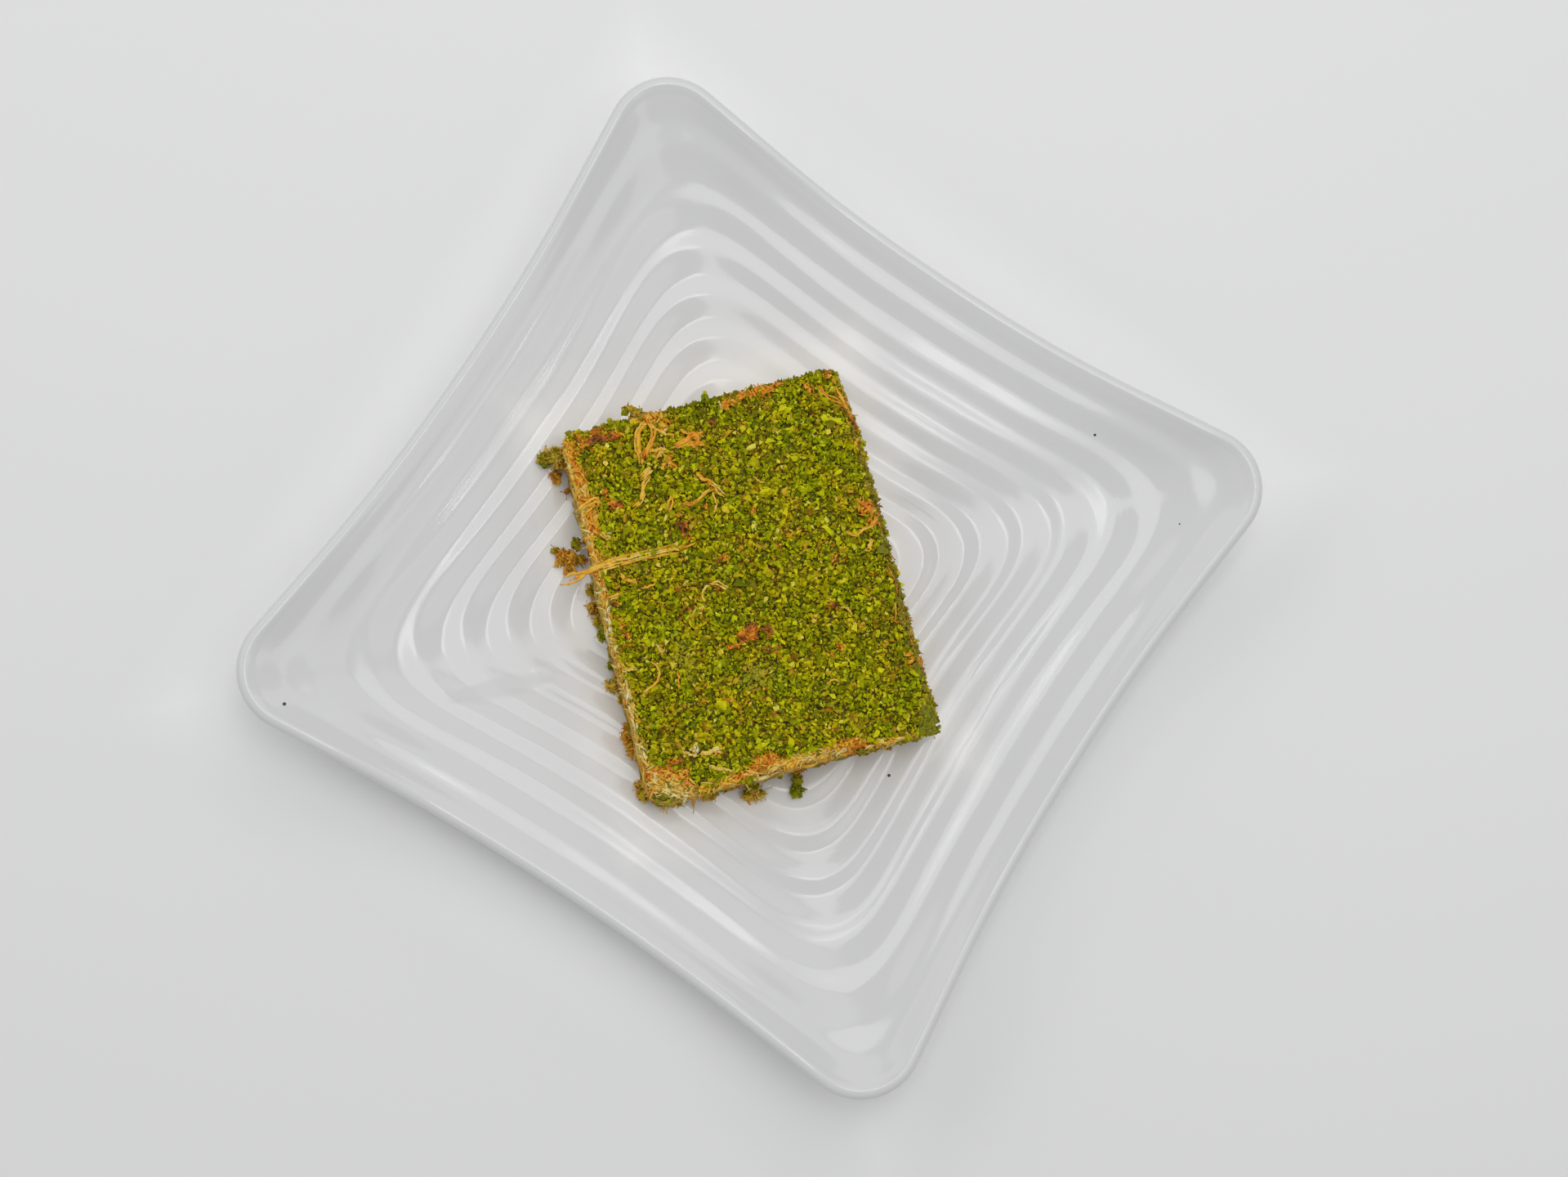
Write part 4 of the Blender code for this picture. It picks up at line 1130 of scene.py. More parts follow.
def crumb_values(rng, x, y):
    """Yellow-green to dark green crumbs, with olive and toasted ones among them and a few pale bits."""
    count = len(x)
    drift = soft_noise(x, y, 7 * MM, 52) + 0.6 * soft_noise(x, y, 3 * MM, 53)
    tint = rng.normal(0.665, 0.12, count) + 0.04 * soft_noise(x, y, 3.5 * MM, 51)
    lot = rng.random(count)
    olive = lot < 0.14 + 0.14 * drift
    toasted = (lot > 0.945 - 0.06 * drift) & (lot < 0.97)
    skins = lot > 0.982
    tint = np.where(olive, rng.uniform(0.28, 0.44, count), tint)
    tint = np.where(toasted, rng.uniform(0.12, 0.30, count), tint)
    tint = np.where(skins, rng.uniform(0.0, 0.10, count), tint)
    tint = np.where(rng.random(count) < 0.008, rng.uniform(0.93, 1.0, count), tint)
    dull = np.zeros(count)
    for (middle_x, middle_y), (half_x, half_y), drift_tint, drift_dull in CRUMB_DRIFTS:
        away = np.hypot((x / MM - middle_x) / half_x, (y / MM - middle_y) / half_y)
        near = rng.random(count) < 1.5 - away
        tint = np.where(near, rng.normal(drift_tint, 0.06, count), tint)
        dull = np.where(near, drift_dull, dull)
    return {"tint": np.clip(tint, 0, 1), "dull": dull}


def top_crumbs(rng):
    """Places of the crumbs: a shaken grid of them, more at random on top, and some by the flat strip."""
    columns, rows, extra, strewn = 98, 126, 4000, 46
    across = (np.arange(columns) + 0.5) / columns
    up = (np.arange(rows) + 0.5) / rows
    across, up = (a.ravel() for a in np.meshgrid(across, up))
    across = np.clip(across + rng.uniform(-0.7, 0.7, len(across)) / columns, 0, 1)
    up = np.clip(up + rng.uniform(-0.7, 0.7, len(up)) / rows, 0, 1)
    lift = rng.uniform(-0.5, 0.25, len(up)) * MM
    across = np.concatenate([across, rng.uniform(0, 1, extra)])
    up = np.concatenate([up, rng.uniform(0, 1, extra)])
    lift = np.concatenate([lift, rng.uniform(0.0, 0.6, extra) * MM])
    x, y = crumb_area(across, up)
    z = crumb_height(x, y) + lift - 0.2 * MM
    strewn_x = rng.uniform(-26, -13, strewn) * MM
    strewn_y = rng.uniform(11.7, 13.6, strewn) * MM
    strewn_z = crumb_height(strewn_x, strewn_y) + rng.uniform(0.3, 0.8, strewn) * MM
    return np.concatenate([np.stack([x, y, z], axis=1), np.stack([strewn_x, strewn_y, strewn_z], axis=1)])


def lay_flakes(patterns, rng):
    """The larger flat flakes, each laid on the crumbs with a slight tilt."""
    copies = []
    for i, ((x, y), length, width, turn, tint) in enumerate(FLAKES):
        shape, faces = patterns[i % len(patterns)]
        size = np.array([length, width, 0.5 * width]) * MM * 1.2
        tilt_x = Matrix.Rotation(rng.uniform(-0.25, 0.25), 3, "X")
        tilt_y = Matrix.Rotation(rng.uniform(-0.25, 0.25), 3, "Y")
        way = np.array(Matrix.Rotation(math.radians(turn), 3, "Z") @ (tilt_x @ tilt_y))
        place = np.array([x * MM, y * MM, crumb_height(np.array(x * MM), np.array(y * MM)) + 0.4 * MM])
        points = to_plate((shape * size) @ way.T + place)
        copies.append((points, faces, {"tint": np.full(len(shape), tint), "dull": np.zeros(len(shape))}))
    return join_copies(copies)


def edge_crumbs(rng):
    """Crumbs in the broken rim of the layer, some of them just over the edge."""
    count = 1500
    t = rng.uniform(0, 1, count)
    side = rng.integers(0, 4, count)
    across = np.select([side == 0, side == 1, side == 2], [0 * t, 0 * t + 1, t], t)
    up = np.select([side == 0, side == 1, side == 2], [t, t, 0 * t], 0 * t + 1)
    x, y = crumb_area(across, up)
    depth = rng.uniform(0, 1, count)
    out = rng.normal(0.1, 0.35, count) * MM
    x = x + np.select([side == 0, side == 1], [-out, out], 0)
    y = y + np.select([side == 2, side == 3], [-out, out], 0)
    z = crumb_height(x, y) - 0.3 * MM - depth * 1.7 * MM
    return np.stack([x, y, z], axis=1)


def spilled_crumbs(rng):
    """Crumbs that have rolled down the right side and lodged there, and a few on the other sides."""
    count = 620
    right_start = 2 * HALF_LENGTH + 2 * HALF_WIDTH - 6 * CORNER_RADIUS
    along = np.where(rng.random(count) < 0.72, right_start + rng.uniform(0, 2 * HALF_LENGTH, count), 0)
    along = np.where(along == 0, rng.uniform(0, LENGTH_ROUND[-1], count), along)
    level = 1.05 - np.abs(rng.normal(0, 0.28, count))
    out = rng.uniform(0.0, 0.7, count) * MM
    return wall_place(along, np.clip(level, 0.05, 1.05), out)


def corner_crumbs(rng):
    """The dark clump at the front right corner, and the crumbs between the strips at the left one."""
    right, left = 260, 90
    x = rng.normal(34.2, 1.1, right) * MM
    y = rng.normal(-42.6, 1.9, right) * MM
    x, y = np.clip(x, 30 * MM, 36.6 * MM), np.clip(y, -46.4 * MM, -38 * MM)
    z = crumb_height(x, y) - rng.uniform(0.0, 7.0, right) * MM * smooth_step((x - 33 * MM) / (3 * MM))
    left_x = np.clip(rng.normal(-30.6, 2.2, left), -35.2, -25) * MM
    left_y = np.clip(rng.normal(-42.6, 1.8, left), -45.6, -38) * MM
    left_z = crust_height(left_x, left_y) + rng.uniform(0.2, 1.5, left) * MM
    return np.stack([np.append(x, left_x), np.append(y, left_y), np.append(z, left_z)], axis=1)


def model_crumbs(patterns):
    """All the ground pistachio of the slice: the left, middle and right of its top, and its edges."""
    rng = np.random.default_rng(61)
    top = top_crumbs(rng)
    values = crumb_values(rng, top[:, 0], top[:, 1])
    size = crumb_sizes(rng, len(top), 0.95, 0.28, 0.5, 2.0)
    pieces = []
    left = top[:, 0] < -10 * MM
    right = top[:, 0] > 12 * MM
    shares = (("crumbs_left", left), ("crumbs_middle", ~left & ~right), ("crumbs_right", right))
    for name, chosen in shares:
        some_values = {key: value[chosen] for key, value in values.items()}
        parts = lay_crumbs(patterns, top[chosen], size[chosen], some_values, 62)
        pieces.append(piece_from(name, parts, smooth=False))
    rim = edge_crumbs(rng)
    spilled = spilled_crumbs(rng)
    corner = corner_crumbs(rng)
    rim_values = crumb_values(rng, rim[:, 0], rim[:, 1])
    spilled_tint = some_tints(rng, len(spilled), 0.42, 0.10)
    corner_tint = some_tints(rng, len(corner), 0.48, 0.08)
    places = np.concatenate([rim, spilled, corner])
    tints = np.concatenate([rim_values["tint"], spilled_tint, corner_tint])
    dull = np.concatenate([rim_values["dull"], np.full(len(spilled), 0.7), np.full(len(corner), 0.6)])
    sizes = crumb_sizes(rng, len(places), 1.0, 0.28, 0.55, 1.8)
    parts = lay_crumbs(patterns, places, sizes, {"tint": tints, "dull": dull}, 63)
    pieces.append(piece_from("crumbs_edge", join_copies([parts, lay_flakes(patterns, rng)]), smooth=False))
    return pieces


# Clumps: (x, y, half sizes), crumbs, tint of the crumbs, spread of the tint, strips, tint of the strips
FOOT_CLUMPS = (
    ((-39.0, 43.4, 1.9, 1.7, 1.6), 80, 0.40, 0.10, 16, 0.60),
    ((-36.2, 42.6, 1.8, 2.6, 3.4), 110, 0.34, 0.08, 80, 0.60),
    ((-37.8, 38.8, 0.9, 1.2, 1.2), 22, 0.20, 0.06, 20, 0.36),
    ((-36.2, 34.6, 0.6, 0.6, 0.7), 8, 0.14, 0.05, 3, 0.22),
    ((-36.2, 9.4, 1.0, 1.8, 1.2), 34, 0.34, 0.12, 12, 0.60),
    ((-37.3, 5.0, 1.2, 1.2, 1.4), 40, 0.20, 0.07, 18, 0.36),
    ((-36.4, 1.4, 1.2, 1.8, 1.5), 44, 0.34, 0.10, 18, 0.64),
    ((-36.6, -2.0, 0.9, 1.2, 1.2), 30, 0.54, 0.10, 4, 0.56),
    ((-36.2, -9.6, 0.8, 0.9, 1.1), 20, 0.50, 0.10, 4, 0.60),
    ((-37.2, -14.6, 1.4, 1.2, 1.3), 34, 0.34, 0.08, 26, 0.62),
    ((-36.0, -17.8, 0.9, 1.6, 1.3), 30, 0.26, 0.08, 12, 0.56),
    ((-36.5, -28.9, 1.5, 4.2, 2.8), 150, 0.23, 0.06, 90, 0.40),
    ((-36.4, -41.2, 1.6, 2.6, 2.4), 100, 0.34, 0.12, 70, 0.50),
    ((-30.6, -45.7, 3.6, 1.0, 2.2), 40, 0.40, 0.16, 80, 0.62),
    ((-21.2, -46.2, 1.8, 1.2, 1.8), 60, 0.36, 0.12, 30, 0.50),
    ((-16.0, -45.6, 3.0, 0.7, 1.8), 46, 0.44, 0.14, 20, 0.42),
    ((24.2, -46.2, 1.0, 0.9, 1.0), 20, 0.20, 0.06, 10, 0.44),
    ((1.2, -46.2, 1.4, 0.6, 1.0), 18, 0.18, 0.06, 12, 0.30),
)
BACK_CLUMPS = (
    ((-17.5, 48.4, 0.9, 0.6, 0.6), 16, 0.40, 0.12, 3, 0.50),
    ((-16.5, 48.0, 0.9, 0.6, 0.6), 16, 0.36, 0.12, 4, 0.50),
    ((-15.2, 47.1, 1.3, 0.6, 0.6), 22, 0.36, 0.12, 4, 0.50),
    ((-22.4, 46.4, 0.5, 0.5, 0.5), 5, 0.62, 0.06, 0, 0.50),
    ((1.6, 46.8, 0.6, 0.5, 0.5), 6, 0.60, 0.06, 0, 0.50),
)
FRONT_CLUMPS = (((-12.4, -45.6, 1.5, 0.9, 1.0), 40, 0.62, 0.10, 3, 0.50),)
# The clumps at the slice's edges and how high they hang. Those with no height stand on the plate
EDGE_CLUMPS = (
    (FOOT_CLUMPS, None),
    (BACK_CLUMPS, TOP_HEIGHT - 0.6 * MM),
    (FRONT_CLUMPS, TOP_HEIGHT - 1.8 * MM),
)
FALLEN = {
    "fallen_left": (
        ((-39.4, 18.6, 1.7, 1.5, 1.5), 60, 0.23, 0.07, 50, 0.36),
        ((-41.4, 20.0, 1.1, 0.9, 1.0), 26, 0.26, 0.10, 14, 0.36),
        ((-42.6, 21.4, 0.7, 0.6, 0.5), 10, 0.48, 0.05, 2, 0.34),
        ((-37.2, 21.6, 0.7, 1.6, 1.0), 34, 0.46, 0.10, 4, 0.36),
        ((-36.9, 17.4, 1.3, 0.8, 0.9), 26, 0.34, 0.10, 10, 0.40),
        ((-42.2, 18.0, 0.7, 0.6, 0.6), 10, 0.22, 0.06, 8, 0.36),
        ((-40.3, 16.2, 0.8, 1.0, 0.9), 8, 0.22, 0.06, 20, 0.42),
    ),
    "fallen_front": (
        ((-10.8, -47.2, 1.6, 1.3, 1.3), 50, 0.41, 0.08, 18, 0.62),
        ((-10.0, -49.3, 1.8, 1.2, 1.2), 44, 0.33, 0.07, 44, 0.62),
        ((-12.5, -49.0, 0.8, 1.0, 0.8), 16, 0.26, 0.08, 8, 0.42),
    ),
    "fallen_green": (
        ((0.6, -48.4, 1.2, 1.4, 1.1), 44, 0.51, 0.06, 0, 0.40),
        ((-0.4, -50.9, 1.6, 1.6, 1.2), 64, 0.50, 0.06, 0, 0.40),
    ),
}


def clump_parts(crumbs, pattern, clump, rng, height):
    """Crumbs and short strips packed into a rounded heap that stands on the plate or hangs at a height."""
    (x, y, half_x, half_y, half_z), crumb_count, tint, variety, strip_count, strip_tint = clump
    half = np.array([half_x, half_y, half_z]) * MM
    floor = plate_under(np.array([x * MM]), np.array([y * MM]))[0]
    middle = np.array([x * MM, y * MM, floor + half[2] + 0.3 * MM if height is None else height])

    def inside(count):
        way = rng.normal(size=(count, 3))
        way /= np.linalg.norm(way, axis=1, keepdims=True)
        return middle + way * half * rng.uniform(0.25, 0.95, (count, 1)) ** 0.5

    places = inside(crumb_count)
    sizes = crumb_sizes(rng, crumb_count, 1.05, 0.25, 0.6, 1.8)
    values = {"tint": some_tints(rng, crumb_count, tint, variety), "dull": np.full(crumb_count, 0.15)}
    parts = [lay_crumbs(crumbs, places, sizes, values, int(rng.integers(1e6)))]
    if not strip_count:
        return parts, []
    centre = inside(strip_count)
    way = rng.normal(size=(strip_count, 3)) * (1, 1, 0.45)
    way /= np.linalg.norm(way, axis=1, keepdims=True)
    length = rng.uniform(1.6, 3.6, strip_count) * MM
    paths = centre[:, None] + way[:, None] * length[:, None, None] * KNOT_SHARES[None, :, None]
    curve = (KNOT_SHARES**2 - 0.1)[None, :, None] * 4
    paths = paths + rng.normal(0, 0.5 * MM, (strip_count, 1, 3)) * curve
    low = plate_under(paths[..., 0], paths[..., 1]) + 0.35 * MM
    paths[..., 2] = np.maximum(paths[..., 2], low)
    width = rng.uniform(0.4, 0.8, strip_count) * MM
    values = {"tint": some_tints(rng, strip_count, strip_tint, 0.1)}
    return parts, [lay_strands(pattern, paths, width, 0.65 * width, values, int(rng.integers(1e6)))]


def heap_parts(heaps, crumbs, pattern, rng):
    """The crumbs and the strips of several lots of clumps, each lot with its height."""
    lumps, strips = [], []
    for clumps, height in heaps:
        for clump in clumps:
            some_lumps, some_strips = clump_parts(crumbs, pattern, clump, rng, height)
            lumps += some_lumps
            strips += some_strips
    return lumps, strips


def soaked_piece(name, strips, soak):
    """One piece from the strips of clumps, evenly soaked."""
    points, faces, values = join_copies(strips)
    values["soak"] = np.full(len(points), soak)
    return piece_from(name, (points, faces, values), smooth=True)


def low_strips(pattern):
    """Single strips that hang from the slice's foot or lean on the clumps."""
    paths, widths, tints = [], [], []
    for tint, width, corners in LOW_STRIPS:
        path = smooth_path(np.array(corners) * MM, SHORT_KNOTS)
        path[:, 2] += plate_under(path[:, 0], path[:, 1])
        paths.append(path)
        widths.append(width * MM)
        tints.append(tint)
    widths = np.array(widths)
    return lay_strands(pattern, np.array(paths), widths, 0.6 * widths, {"tint": np.array(tints)}, 91)


# Materials


def start_material(name, **settings):
    """A material with one shader, whose even values are set on the shader itself."""
    material = bpy.data.materials.new(name)
    material.use_nodes = True
    shader = material.node_tree.nodes["Principled BSDF"]
    for socket, value in settings.items():
        shader.inputs[socket.replace("_", " ")].default_value = value
    return material, material.node_tree, shader


def feed(tree, node, **inputs):
    """Links or sets inputs of a node, by name, or by place as i0, i1 and so on."""
    for key, value in inputs.items():
        by_place = key[0] == "i" and key[1:].isdigit()
        socket = node.inputs[int(key[1:]) if by_place else key.replace("_", " ")]
        if isinstance(value, bpy.types.NodeSocket):
            tree.links.new(value, socket)
        else:
            socket.default_value = value


def put(tree, kind, properties=None, **inputs):
    """Adds a node, sets its properties and feeds its inputs."""
    node = tree.nodes.new(kind)
    for key, value in (properties or {}).items():
        setattr(node, key, value)
    feed(tree, node, **inputs)
    return node


def mixed(tree, factor, first, second, blend="MIX"):
    """One colour over another. Each is a socket or three numbers."""
    colours = [c if isinstance(c, bpy.types.NodeSocket) else (*c, 1.0) for c in (first, second)]
    kind = {"data_type": "RGBA", "blend_type": blend}
    return put(tree, "ShaderNodeMix", kind, i0=factor, i6=colours[0], i7=colours[1]).outputs[2]


def ramp(tree, value, stops):
    """A colour for each value, from (place, colour) stops."""
    node = put(tree, "ShaderNodeValToRGB", Fac=value)
    elements = node.color_ramp.elements
    while len(elements) > 1:
        elements.remove(elements[0])
    elements[0].position = stops[0][0]
    elements[0].color = (*stops[0][1], 1.0)
    for place, colour in stops[1:]:
        elements.new(place).color = (*colour, 1.0)
    return node.outputs["Color"]


def maths(tree, operation, *values):
    inputs = {f"i{place}": value for place, value in enumerate(values)}
    return put(tree, "ShaderNodeMath", {"operation": operation}, **inputs).outputs[0]


def object_place(tree):
    return put(tree, "ShaderNodeTexCoord").outputs["Object"]


def scaled(tree, place, factors):
    return put(tree, "ShaderNodeVectorMath", {"operation": "MULTIPLY"}, i0=place, i1=factors).outputs[0]


def square_distance(tree, place):
    """How far a place is from the middle along the axis on which it is further."""
    parts = put(tree, "ShaderNodeSeparateXYZ", Vector=place)
    return maths(tree, "MAXIMUM", *(maths(tree, "ABSOLUTE", parts.outputs[axis]) for axis in "XY"))


def value_on_points(tree, key, output="Fac"):
    return put(tree, "ShaderNodeAttribute", {"attribute_name": key}).outputs[output]


def noise(tree, place, scale, detail, **settings):
    """An uneven value round 0.5 that changes with the place."""
    node = put(tree, "ShaderNodeTexNoise", Vector=place, Scale=scale, Detail=detail, **settings)
    return node.outputs["Fac"]


def graded(tree, value, start, end=(0.0, 1.0), kind="LINEAR"):
    """A value moved from one range to another."""
    limits = {"From_Min": start[0], "From_Max": start[1], "To_Min": end[0], "To_Max": end[1]}
    node = put(tree, "ShaderNodeMapRange", {"interpolation_type": kind}, Value=value, **limits)
    return node.outputs["Result"]


def raise_grain(tree, shader, height, strength, distance):
    """A bump on the surface."""
    bump = put(tree, "ShaderNodeBump", Height=height, Strength=strength, Distance=distance)
    feed(tree, shader, Normal=bump.outputs["Normal"])


def start_group(name, inputs, outputs):
    """An empty shared group with its named sockets."""
    group = bpy.data.node_groups.new(name, "ShaderNodeTree")
    for way, sockets in (("INPUT", inputs), ("OUTPUT", outputs)):
        for socket, kind in sockets:
            group.interface.new_socket(socket, in_out=way, socket_type="NodeSocket" + kind)
    return group, group.nodes.new("NodeGroupInput").outputs, group.nodes.new("NodeGroupOutput")


def make_food_grain():
    """A shared group: breaks a colour into lighter and darker bits and gives the height of that grain."""
    inputs = (("Place", "Vector"), ("Colour", "Color"), ("Scale", "Float"), ("Contrast", "Float"))
    group, start, end = start_group("food_grain", inputs, (("Colour", "Color"), ("Height", "Float")))
    grain = noise(group, start["Place"], start["Scale"], 3.0)
    change = maths(group, "MULTIPLY", maths(group, "SUBTRACT", grain, 0.5), start["Contrast"])
    value = maths(group, "ADD", change, 1.0)
    hue = maths(group, "MULTIPLY_ADD", change, 0.02, 0.5)
    tone = put(group, "ShaderNodeHueSaturation", Color=start["Colour"], Value=value, Hue=hue)
    feed(group, end, Colour=tone.outputs["Color"], Height=grain)
    return group


def make_spot():
    """A shared group: a soft round spot, 1 inside and 0 outside."""
    inputs = (("Place", "Vector"), ("Centre", "Vector"), ("Radius", "Float"), ("Softness", "Float"))
    group, start, end = start_group("round_spot", inputs, (("Mask", "Float"),))
    measure = {"operation": "DISTANCE"}
    distance = put(group, "ShaderNodeVectorMath", measure, i0=start["Place"], i1=start["Centre"])
    outer = maths(group, "ADD", start["Radius"], start["Softness"])
    mask = graded(group, distance.outputs["Value"], (outer, start["Radius"]), kind="SMOOTHSTEP")
    feed(group, end, Mask=mask)
    return group


FOOD_GRAIN = make_food_grain()
SPOT = make_spot()

# Colours
GLAZE = (0.716, 0.717, 0.721)
SMEARED_GLAZE = (0.702, 0.703, 0.707)
WORN_GLAZE = (0.660, 0.661, 0.665)
# Painted light, a little warm, for the glaze beside the slice
SLICE_SIDE_PAINTED_LIGHT = (0.90, 0.885, 0.86)
SPECK_COLOUR = (0.05, 0.045, 0.04)
NUT_TONES = (
    (0.0, (0.120, 0.060, 0.008)),
    (0.09, (0.290, 0.130, 0.010)),
    (0.20, (0.560, 0.270, 0.022)),
    (0.29, (0.600, 0.400, 0.030)),
    (0.37, (0.310, 0.230, 0.008)),
    (0.46, (0.130, 0.145, 0.004)),
    (0.58, (0.270, 0.285, 0.003)),
    (0.72, (0.480, 0.445, 0.003)),
    (0.86, (0.640, 0.600, 0.010)),
    (1.0, (0.780, 0.650, 0.130)),
)
DULL_NUT = (0.27, 0.25, 0.045)
WARM_CAST = (1.17, 1.06, 1.0)
GREEN_CAST = (0.97, 1.08, 0.85)
# Painted shade: dark tones for the packed pistachio deep between the crumbs
PACKED_SHADE_TONES = ((0.35, (0.055, 0.030, 0.004)), (0.5, (0.11, 0.10, 0.004)), (0.68, (0.24, 0.23, 0.005)))
PASTRY_TONES = (
    (0.0, (0.160, 0.060, 0.012)),
    (0.14, (0.450, 0.130, 0.012)),
    (0.21, (0.800, 0.215, 0.011)),
    (0.30, (0.760, 0.300, 0.014)),
    (0.45, (0.830, 0.440, 0.030)),
    (0.60, (0.800, 0.540, 0.075)),
    (0.75, (0.800, 0.620, 0.190)),
    (0.90, (0.820, 0.720, 0.380)),
    (1.0, (0.850, 0.790, 0.560)),
)
SOAKED = (0.52, 0.46, 0.26)

# Dark specks on the plate, in metres: place and radius
SPECKS = (
    ((0.0502, 0.0771), 0.00026),
    ((-0.0776, -0.0879), 0.00034),
    ((0.0529, -0.0224), 0.00032),
    ((0.0797, 0.0692), 0.00016),
)


def grained(tree, colour, scale, contrast):
    """The colour broken up by the shared grain, and the grain's height."""
    values = {"Place": object_place(tree), "Colour": colour, "Scale": scale, "Contrast": contrast}
    node = put(tree, "ShaderNodeGroup", {"node_tree": FOOD_GRAIN}, **values)
    return node.outputs["Colour"], node.outputs["Height"]


def near_slice(tree, place, uneven):
    """1 beside the slice, fading away from it, with an uneven edge: where the glaze gets its painted
    light.
    """
    where = {"Vector": place, "Location": (SLICE_X, SLICE_Y, 0), "Rotation": (0, 0, SLICE_TURN)}
    turned = put(tree, "ShaderNodeMapping", {"vector_type": "TEXTURE"}, **where).outputs["Vector"]
    far = square_distance(tree, scaled(tree, turned, (1 / HALF_WIDTH, 1 / HALF_LENGTH, 0.0)))
    return graded(tree, maths(tree, "MULTIPLY_ADD", uneven, 0.3, far), (1.62, 1.20), kind="SMOOTHSTEP")


def plate_glaze():
    """White melamine: even and glossy, with faint smears, a few specks and painted light round the slice,
    a little warm, that lifts the shade the slice casts on it.
    """
    material, tree, shader = start_material("white_glaze", IOR=1.46)
    place = object_place(tree)
    smears = noise(tree, place, 38.0, 4.0, Distortion=0.6)
    worn = value_on_points(tree, "smear")
    rough = graded(tree, smears, (0.35, 0.72), (0.08, 0.16))
    colour = mixed(tree, smears, GLAZE, SMEARED_GLAZE)
    colour = mixed(tree, worn, colour, WORN_GLAZE)
    lines = noise(tree, value_on_points(tree, "press_lines", "Vector"), 0.9, 3.0, Roughness=0.6)
    strength = graded(tree, noise(tree, place, 26.0, 1.0), (0.4, 0.65), (0.15, 1.0))
    raise_grain(tree, shader, lines, strength, 0.00003)
    # Painted light: the glaze is lighter beside the slice, lifting the shade that the slice casts there
    syrup = maths(tree, "MULTIPLY", near_slice(tree, place, smears), 0.85)
    colour = mixed(tree, syrup, colour, SLICE_SIDE_PAINTED_LIGHT)
    flat = scaled(tree, place, (1.0, 1.0, 0.0))
    for (x, y), radius in SPECKS:
        values = {"Place": flat, "Centre": (x, y, 0.0), "Radius": radius, "Softness": 0.5 * radius}
        spot = put(tree, "ShaderNodeGroup", {"node_tree": SPOT}, **values)
        colour = mixed(tree, spot.outputs["Mask"], colour, SPECK_COLOUR)
    feed(tree, shader, Base_Color=colour, Roughness=maths(tree, "MULTIPLY_ADD", worn, 0.12, rough))
    return material


def ground_pistachio():
    """Crumbs of nut: the tint goes from brown skin over dark and yellow green to pale."""
    material, tree, shader = start_material("ground_pistachio", Specular_IOR_Level=0.07, Roughness=0.62)
    colour = ramp(tree, value_on_points(tree, "tint"), NUT_TONES)
    fresh = graded(tree, noise(tree, object_place(tree), 190.0, 2.0), (0.36, 0.64))
    cast = mixed(tree, fresh, WARM_CAST, GREEN_CAST)
    colour = mixed(tree, 1.0, colour, cast, "MULTIPLY")
    dulled = mixed(tree, 0.6, colour, DULL_NUT)
    colour = mixed(tree, value_on_points(tree, "dull"), colour, dulled)
    colour, height = grained(tree, colour, 1600.0, 0.7)
    feed(tree, shader, Base_Color=colour)
    raise_grain(tree, shader, height, 0.35, 0.0003)
    return material


def packed_pistachio_painted_shade():
    """Packed pistachio between the crumbs, painted dark as the shade deep in the gaps."""
    material, tree, shader = start_material("packed_pistachio_painted_shade", Specular_IOR_Level=0.2, Roughness=0.8)
    grain = noise(tree, object_place(tree), 900.0, 3.0)
    feed(tree, shader, Base_Color=ramp(tree, grain, PACKED_SHADE_TONES))
    raise_grain(tree, shader, grain, 0.7, 0.0006)
    return material


def baked_pastry():
    """Pastry: toasted brown over orange and gold to cream, darker and shinier where soaked in syrup."""
    material, tree, shader = start_material("baked_pastry", Specular_IOR_Level=0.32)
    soak = value_on_points(tree, "soak")
    change = graded(tree, noise(tree, object_place(tree), 420.0, 3.0), (0.3, 0.7), (-0.17, 0.13))
    tint = maths(tree, "ADD", value_on_points(tree, "tint"), change)
    dry, height = grained(tree, ramp(tree, tint, PASTRY_TONES), 1300.0, 0.8)
    soaked = mixed(tree, 1.0, dry, SOAKED, "MULTIPLY")
    rough = graded(tree, soak, (0.0, 1.0), (0.55, 0.38))
    feed(tree, shader, Base_Color=mixed(tree, soak, dry, soaked), Roughness=rough)
    raise_grain(tree, shader, height, 0.3, 0.0003)
    return material


def pale_floor():
    """A pale floor, even but for painted light close round the plate that lifts the plate's shadow on it.
    """
    material, tree, shader = start_material("pale_floor", Roughness=0.6, Specular_IOR_Level=0.3)
    place = object_place(tree)
    colour = mixed(tree, noise(tree, place, 3.0, 2.0), (0.845, 0.845, 0.845), (0.83, 0.83, 0.83))
    # Painted light: the floor is lighter close round the plate, lifting the plate's shadow there
    near = graded(tree, square_distance(tree, place), (0.118, 0.086), kind="SMOOTHSTEP")
    feed(tree, shader, Base_Color=mixed(tree, near, colour, (0.95, 0.95, 0.95)))
    return material


# The studio


def make_floor():
    deselect_all()
    bpy.ops.mesh.primitive_plane_add(size=8.0, location=(0, 0, -0.1 * MM))
    floor = bpy.context.object
    floor.name = "studio_floor"
    bpy.ops.object.transform_apply(location=True)
    floor.data.materials.append(pale_floor())


# The lamps hang at a height and point straight down, in metres: name, place, width and length, power
LAMPS = (
    ("overhead_softbox", (-0.085, 0.14, 0.90), (0.29, 0.52), 1.15),
    ("bright_core", (0.03, 0.125, 0.898), (0.07, 0.16), 0.12),
    ("back_softbox", (-0.30, 0.775, 0.90), (1.10, 0.65), 2.5),
    ("left_softbox", (-1.20, 0.0, 0.90), (1.00, 1.30), 4.1),
    ("right_softbox", (0.43, 0.20, 0.90), (0.44, 0.50), 0.80),
)
SKY_COLOUR = (0.99, 0.995, 1.0, 1.0)
SKY_STRENGTH = 0.475


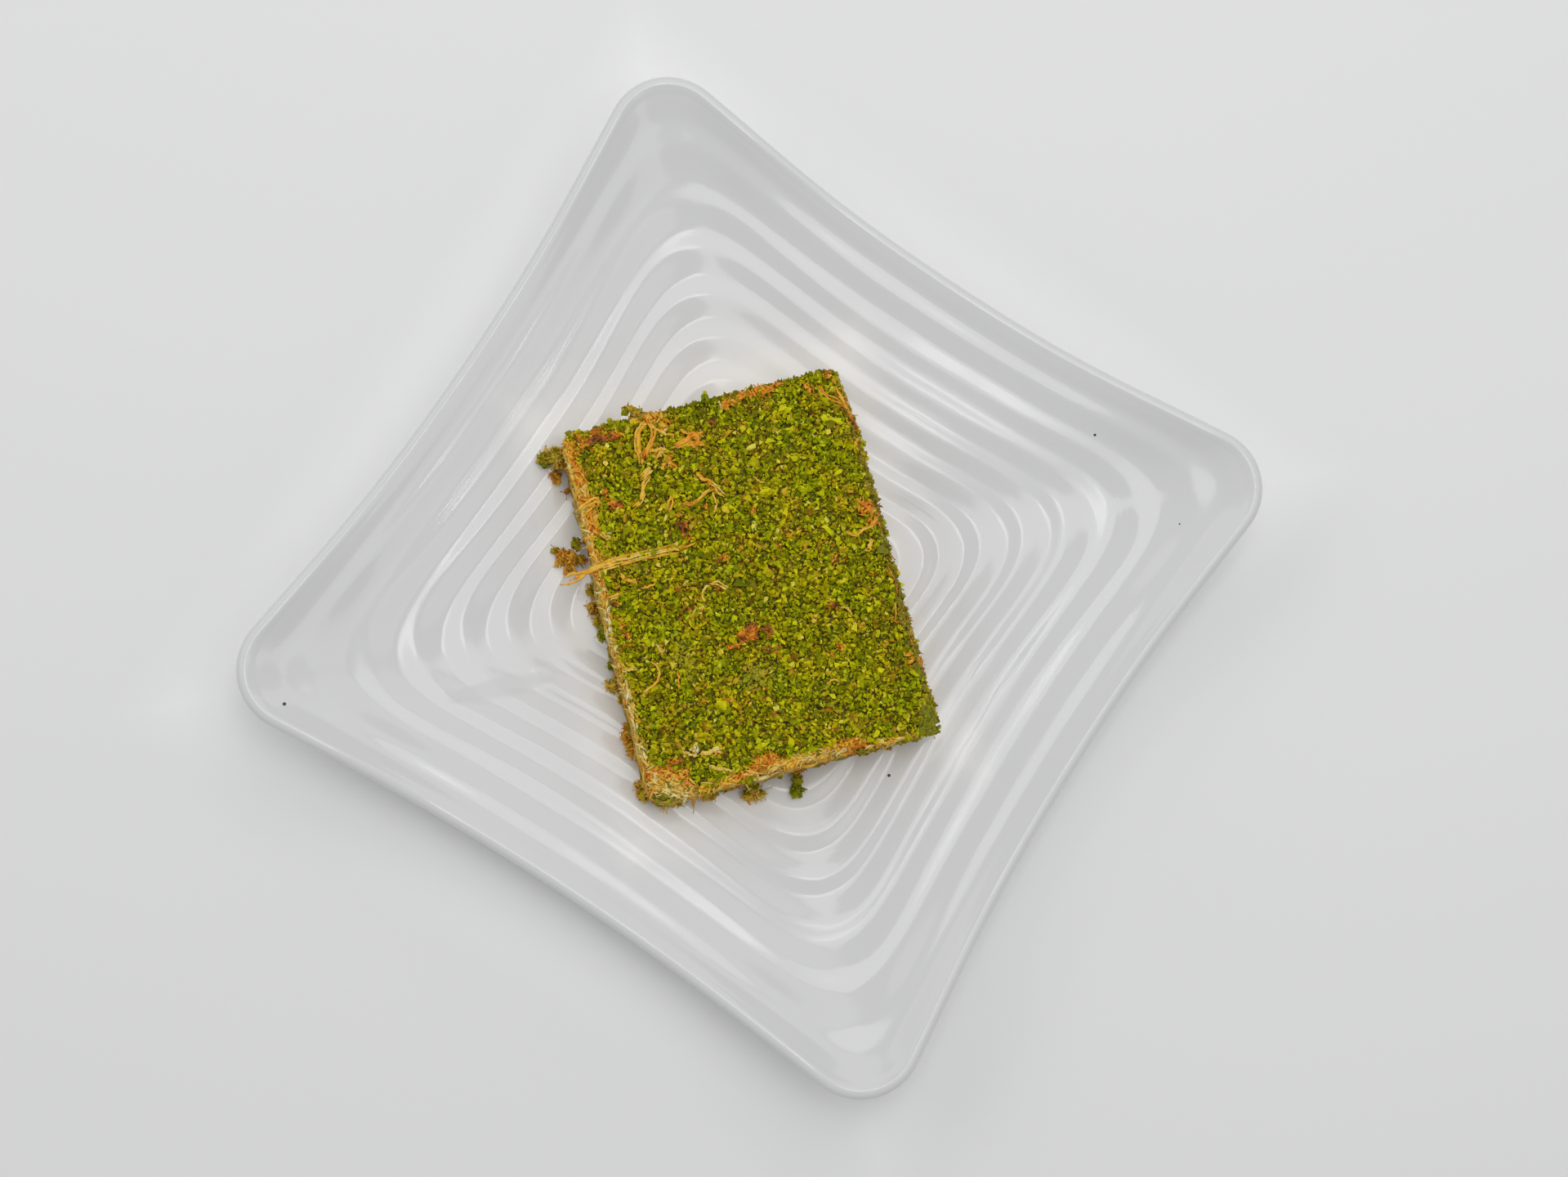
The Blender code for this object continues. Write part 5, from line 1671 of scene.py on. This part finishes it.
def hang_lamp(name, place, size, power):
    lamp = bpy.data.lights.new(name, "AREA")
    lamp.shape = "RECTANGLE"
    lamp.size, lamp.size_y = size
    lamp.energy = power
    holder = bpy.data.objects.new(name, lamp)
    bpy.context.scene.collection.objects.link(holder)
    holder.location = place
    holder.rotation_euler = Vector((0, 0, -place[2])).to_track_quat("-Z", "Y").to_euler()


def light_scene():
    world = bpy.data.worlds.new("studio")
    bpy.context.scene.world = world
    world.use_nodes = True
    feed(world.node_tree, world.node_tree.nodes["Background"], Color=SKY_COLOUR, Strength=SKY_STRENGTH)
    for lamp in LAMPS:
        hang_lamp(*lamp)


def make_camera():
    """The photograph's view: half a metre over the plate, nearly straight down."""
    camera = bpy.data.cameras.new("camera")
    camera.lens = 48.77
    camera.sensor_fit = "HORIZONTAL"
    camera.sensor_width = 36.0
    camera.clip_start = 0.01
    holder = bpy.data.objects.new("camera", camera)
    bpy.context.scene.collection.objects.link(holder)
    right = Vector((0.83635, 0.54119, 0.08740))
    up = Vector((-0.54817, 0.82740, 0.12213))
    forward = Vector((0.00622, 0.15005, -0.98866))
    holder.matrix_world = Matrix((right, up, -forward)).transposed().to_4x4()
    holder.location = (0.0028, -0.0768, 0.5282)
    bpy.context.scene.camera = holder


# Putting it together


def build():
    glaze = plate_glaze()
    pistachio = ground_pistachio()
    pastry = baked_pastry()
    crumbs = crumb_patterns()
    short_strip = strand_pattern(4, SHORT_KNOTS)
    long_strip = strand_pattern(6, LONG_KNOTS)

    dress(model_plate(), glaze, "plate", "plate")
    dress(model_dough(), pastry, "pastry", "shredded_pastry")
    dress(model_wall_strands(short_strip), pastry, "pastry", "shredded_pastry")
    dress(model_crust_strands(short_strip), pastry, "pastry", "shredded_pastry")
    dress(model_crumb_bed(), packed_pistachio_painted_shade(), "pistachio", "pistachio_topping")
    for piece in model_crumbs(crumbs):
        dress(piece, pistachio, "pistachio", "pistachio_topping")
    dress(model_loose_strips(long_strip), pastry, "pastry", "pistachio_topping")
    dress(model_toasted_bits(short_strip), pastry, "pastry", "pistachio_topping")

    rng = np.random.default_rng(71)
    lumps, strips = heap_parts(EDGE_CLUMPS, crumbs, short_strip, rng)
    strips.append(low_strips(short_strip))
    lumps_piece = piece_from("toasted_lumps", join_copies(lumps), smooth=False)
    dress(lumps_piece, pistachio, "pastry", "shredded_pastry")
    dress(soaked_piece("lump_shreds", strips, 0.25), pastry, "pastry", "shredded_pastry")
    for name, clumps in FALLEN.items():
        lumps, strips = heap_parts([(clumps, None)], crumbs, short_strip, rng)
        node = name.replace("fallen_", "fallen_crumb_")
        slot = "pistachio" if name.endswith("green") else "crumb"
        dress(piece_from(name, join_copies(lumps), smooth=False), pistachio, slot, node)
        if strips:
            dress(soaked_piece(name + "_shreds", strips, 0.1), pastry, slot, node)


build()
make_floor()
light_scene()
make_camera()
bpy.context.scene.view_settings.view_transform = "Standard"
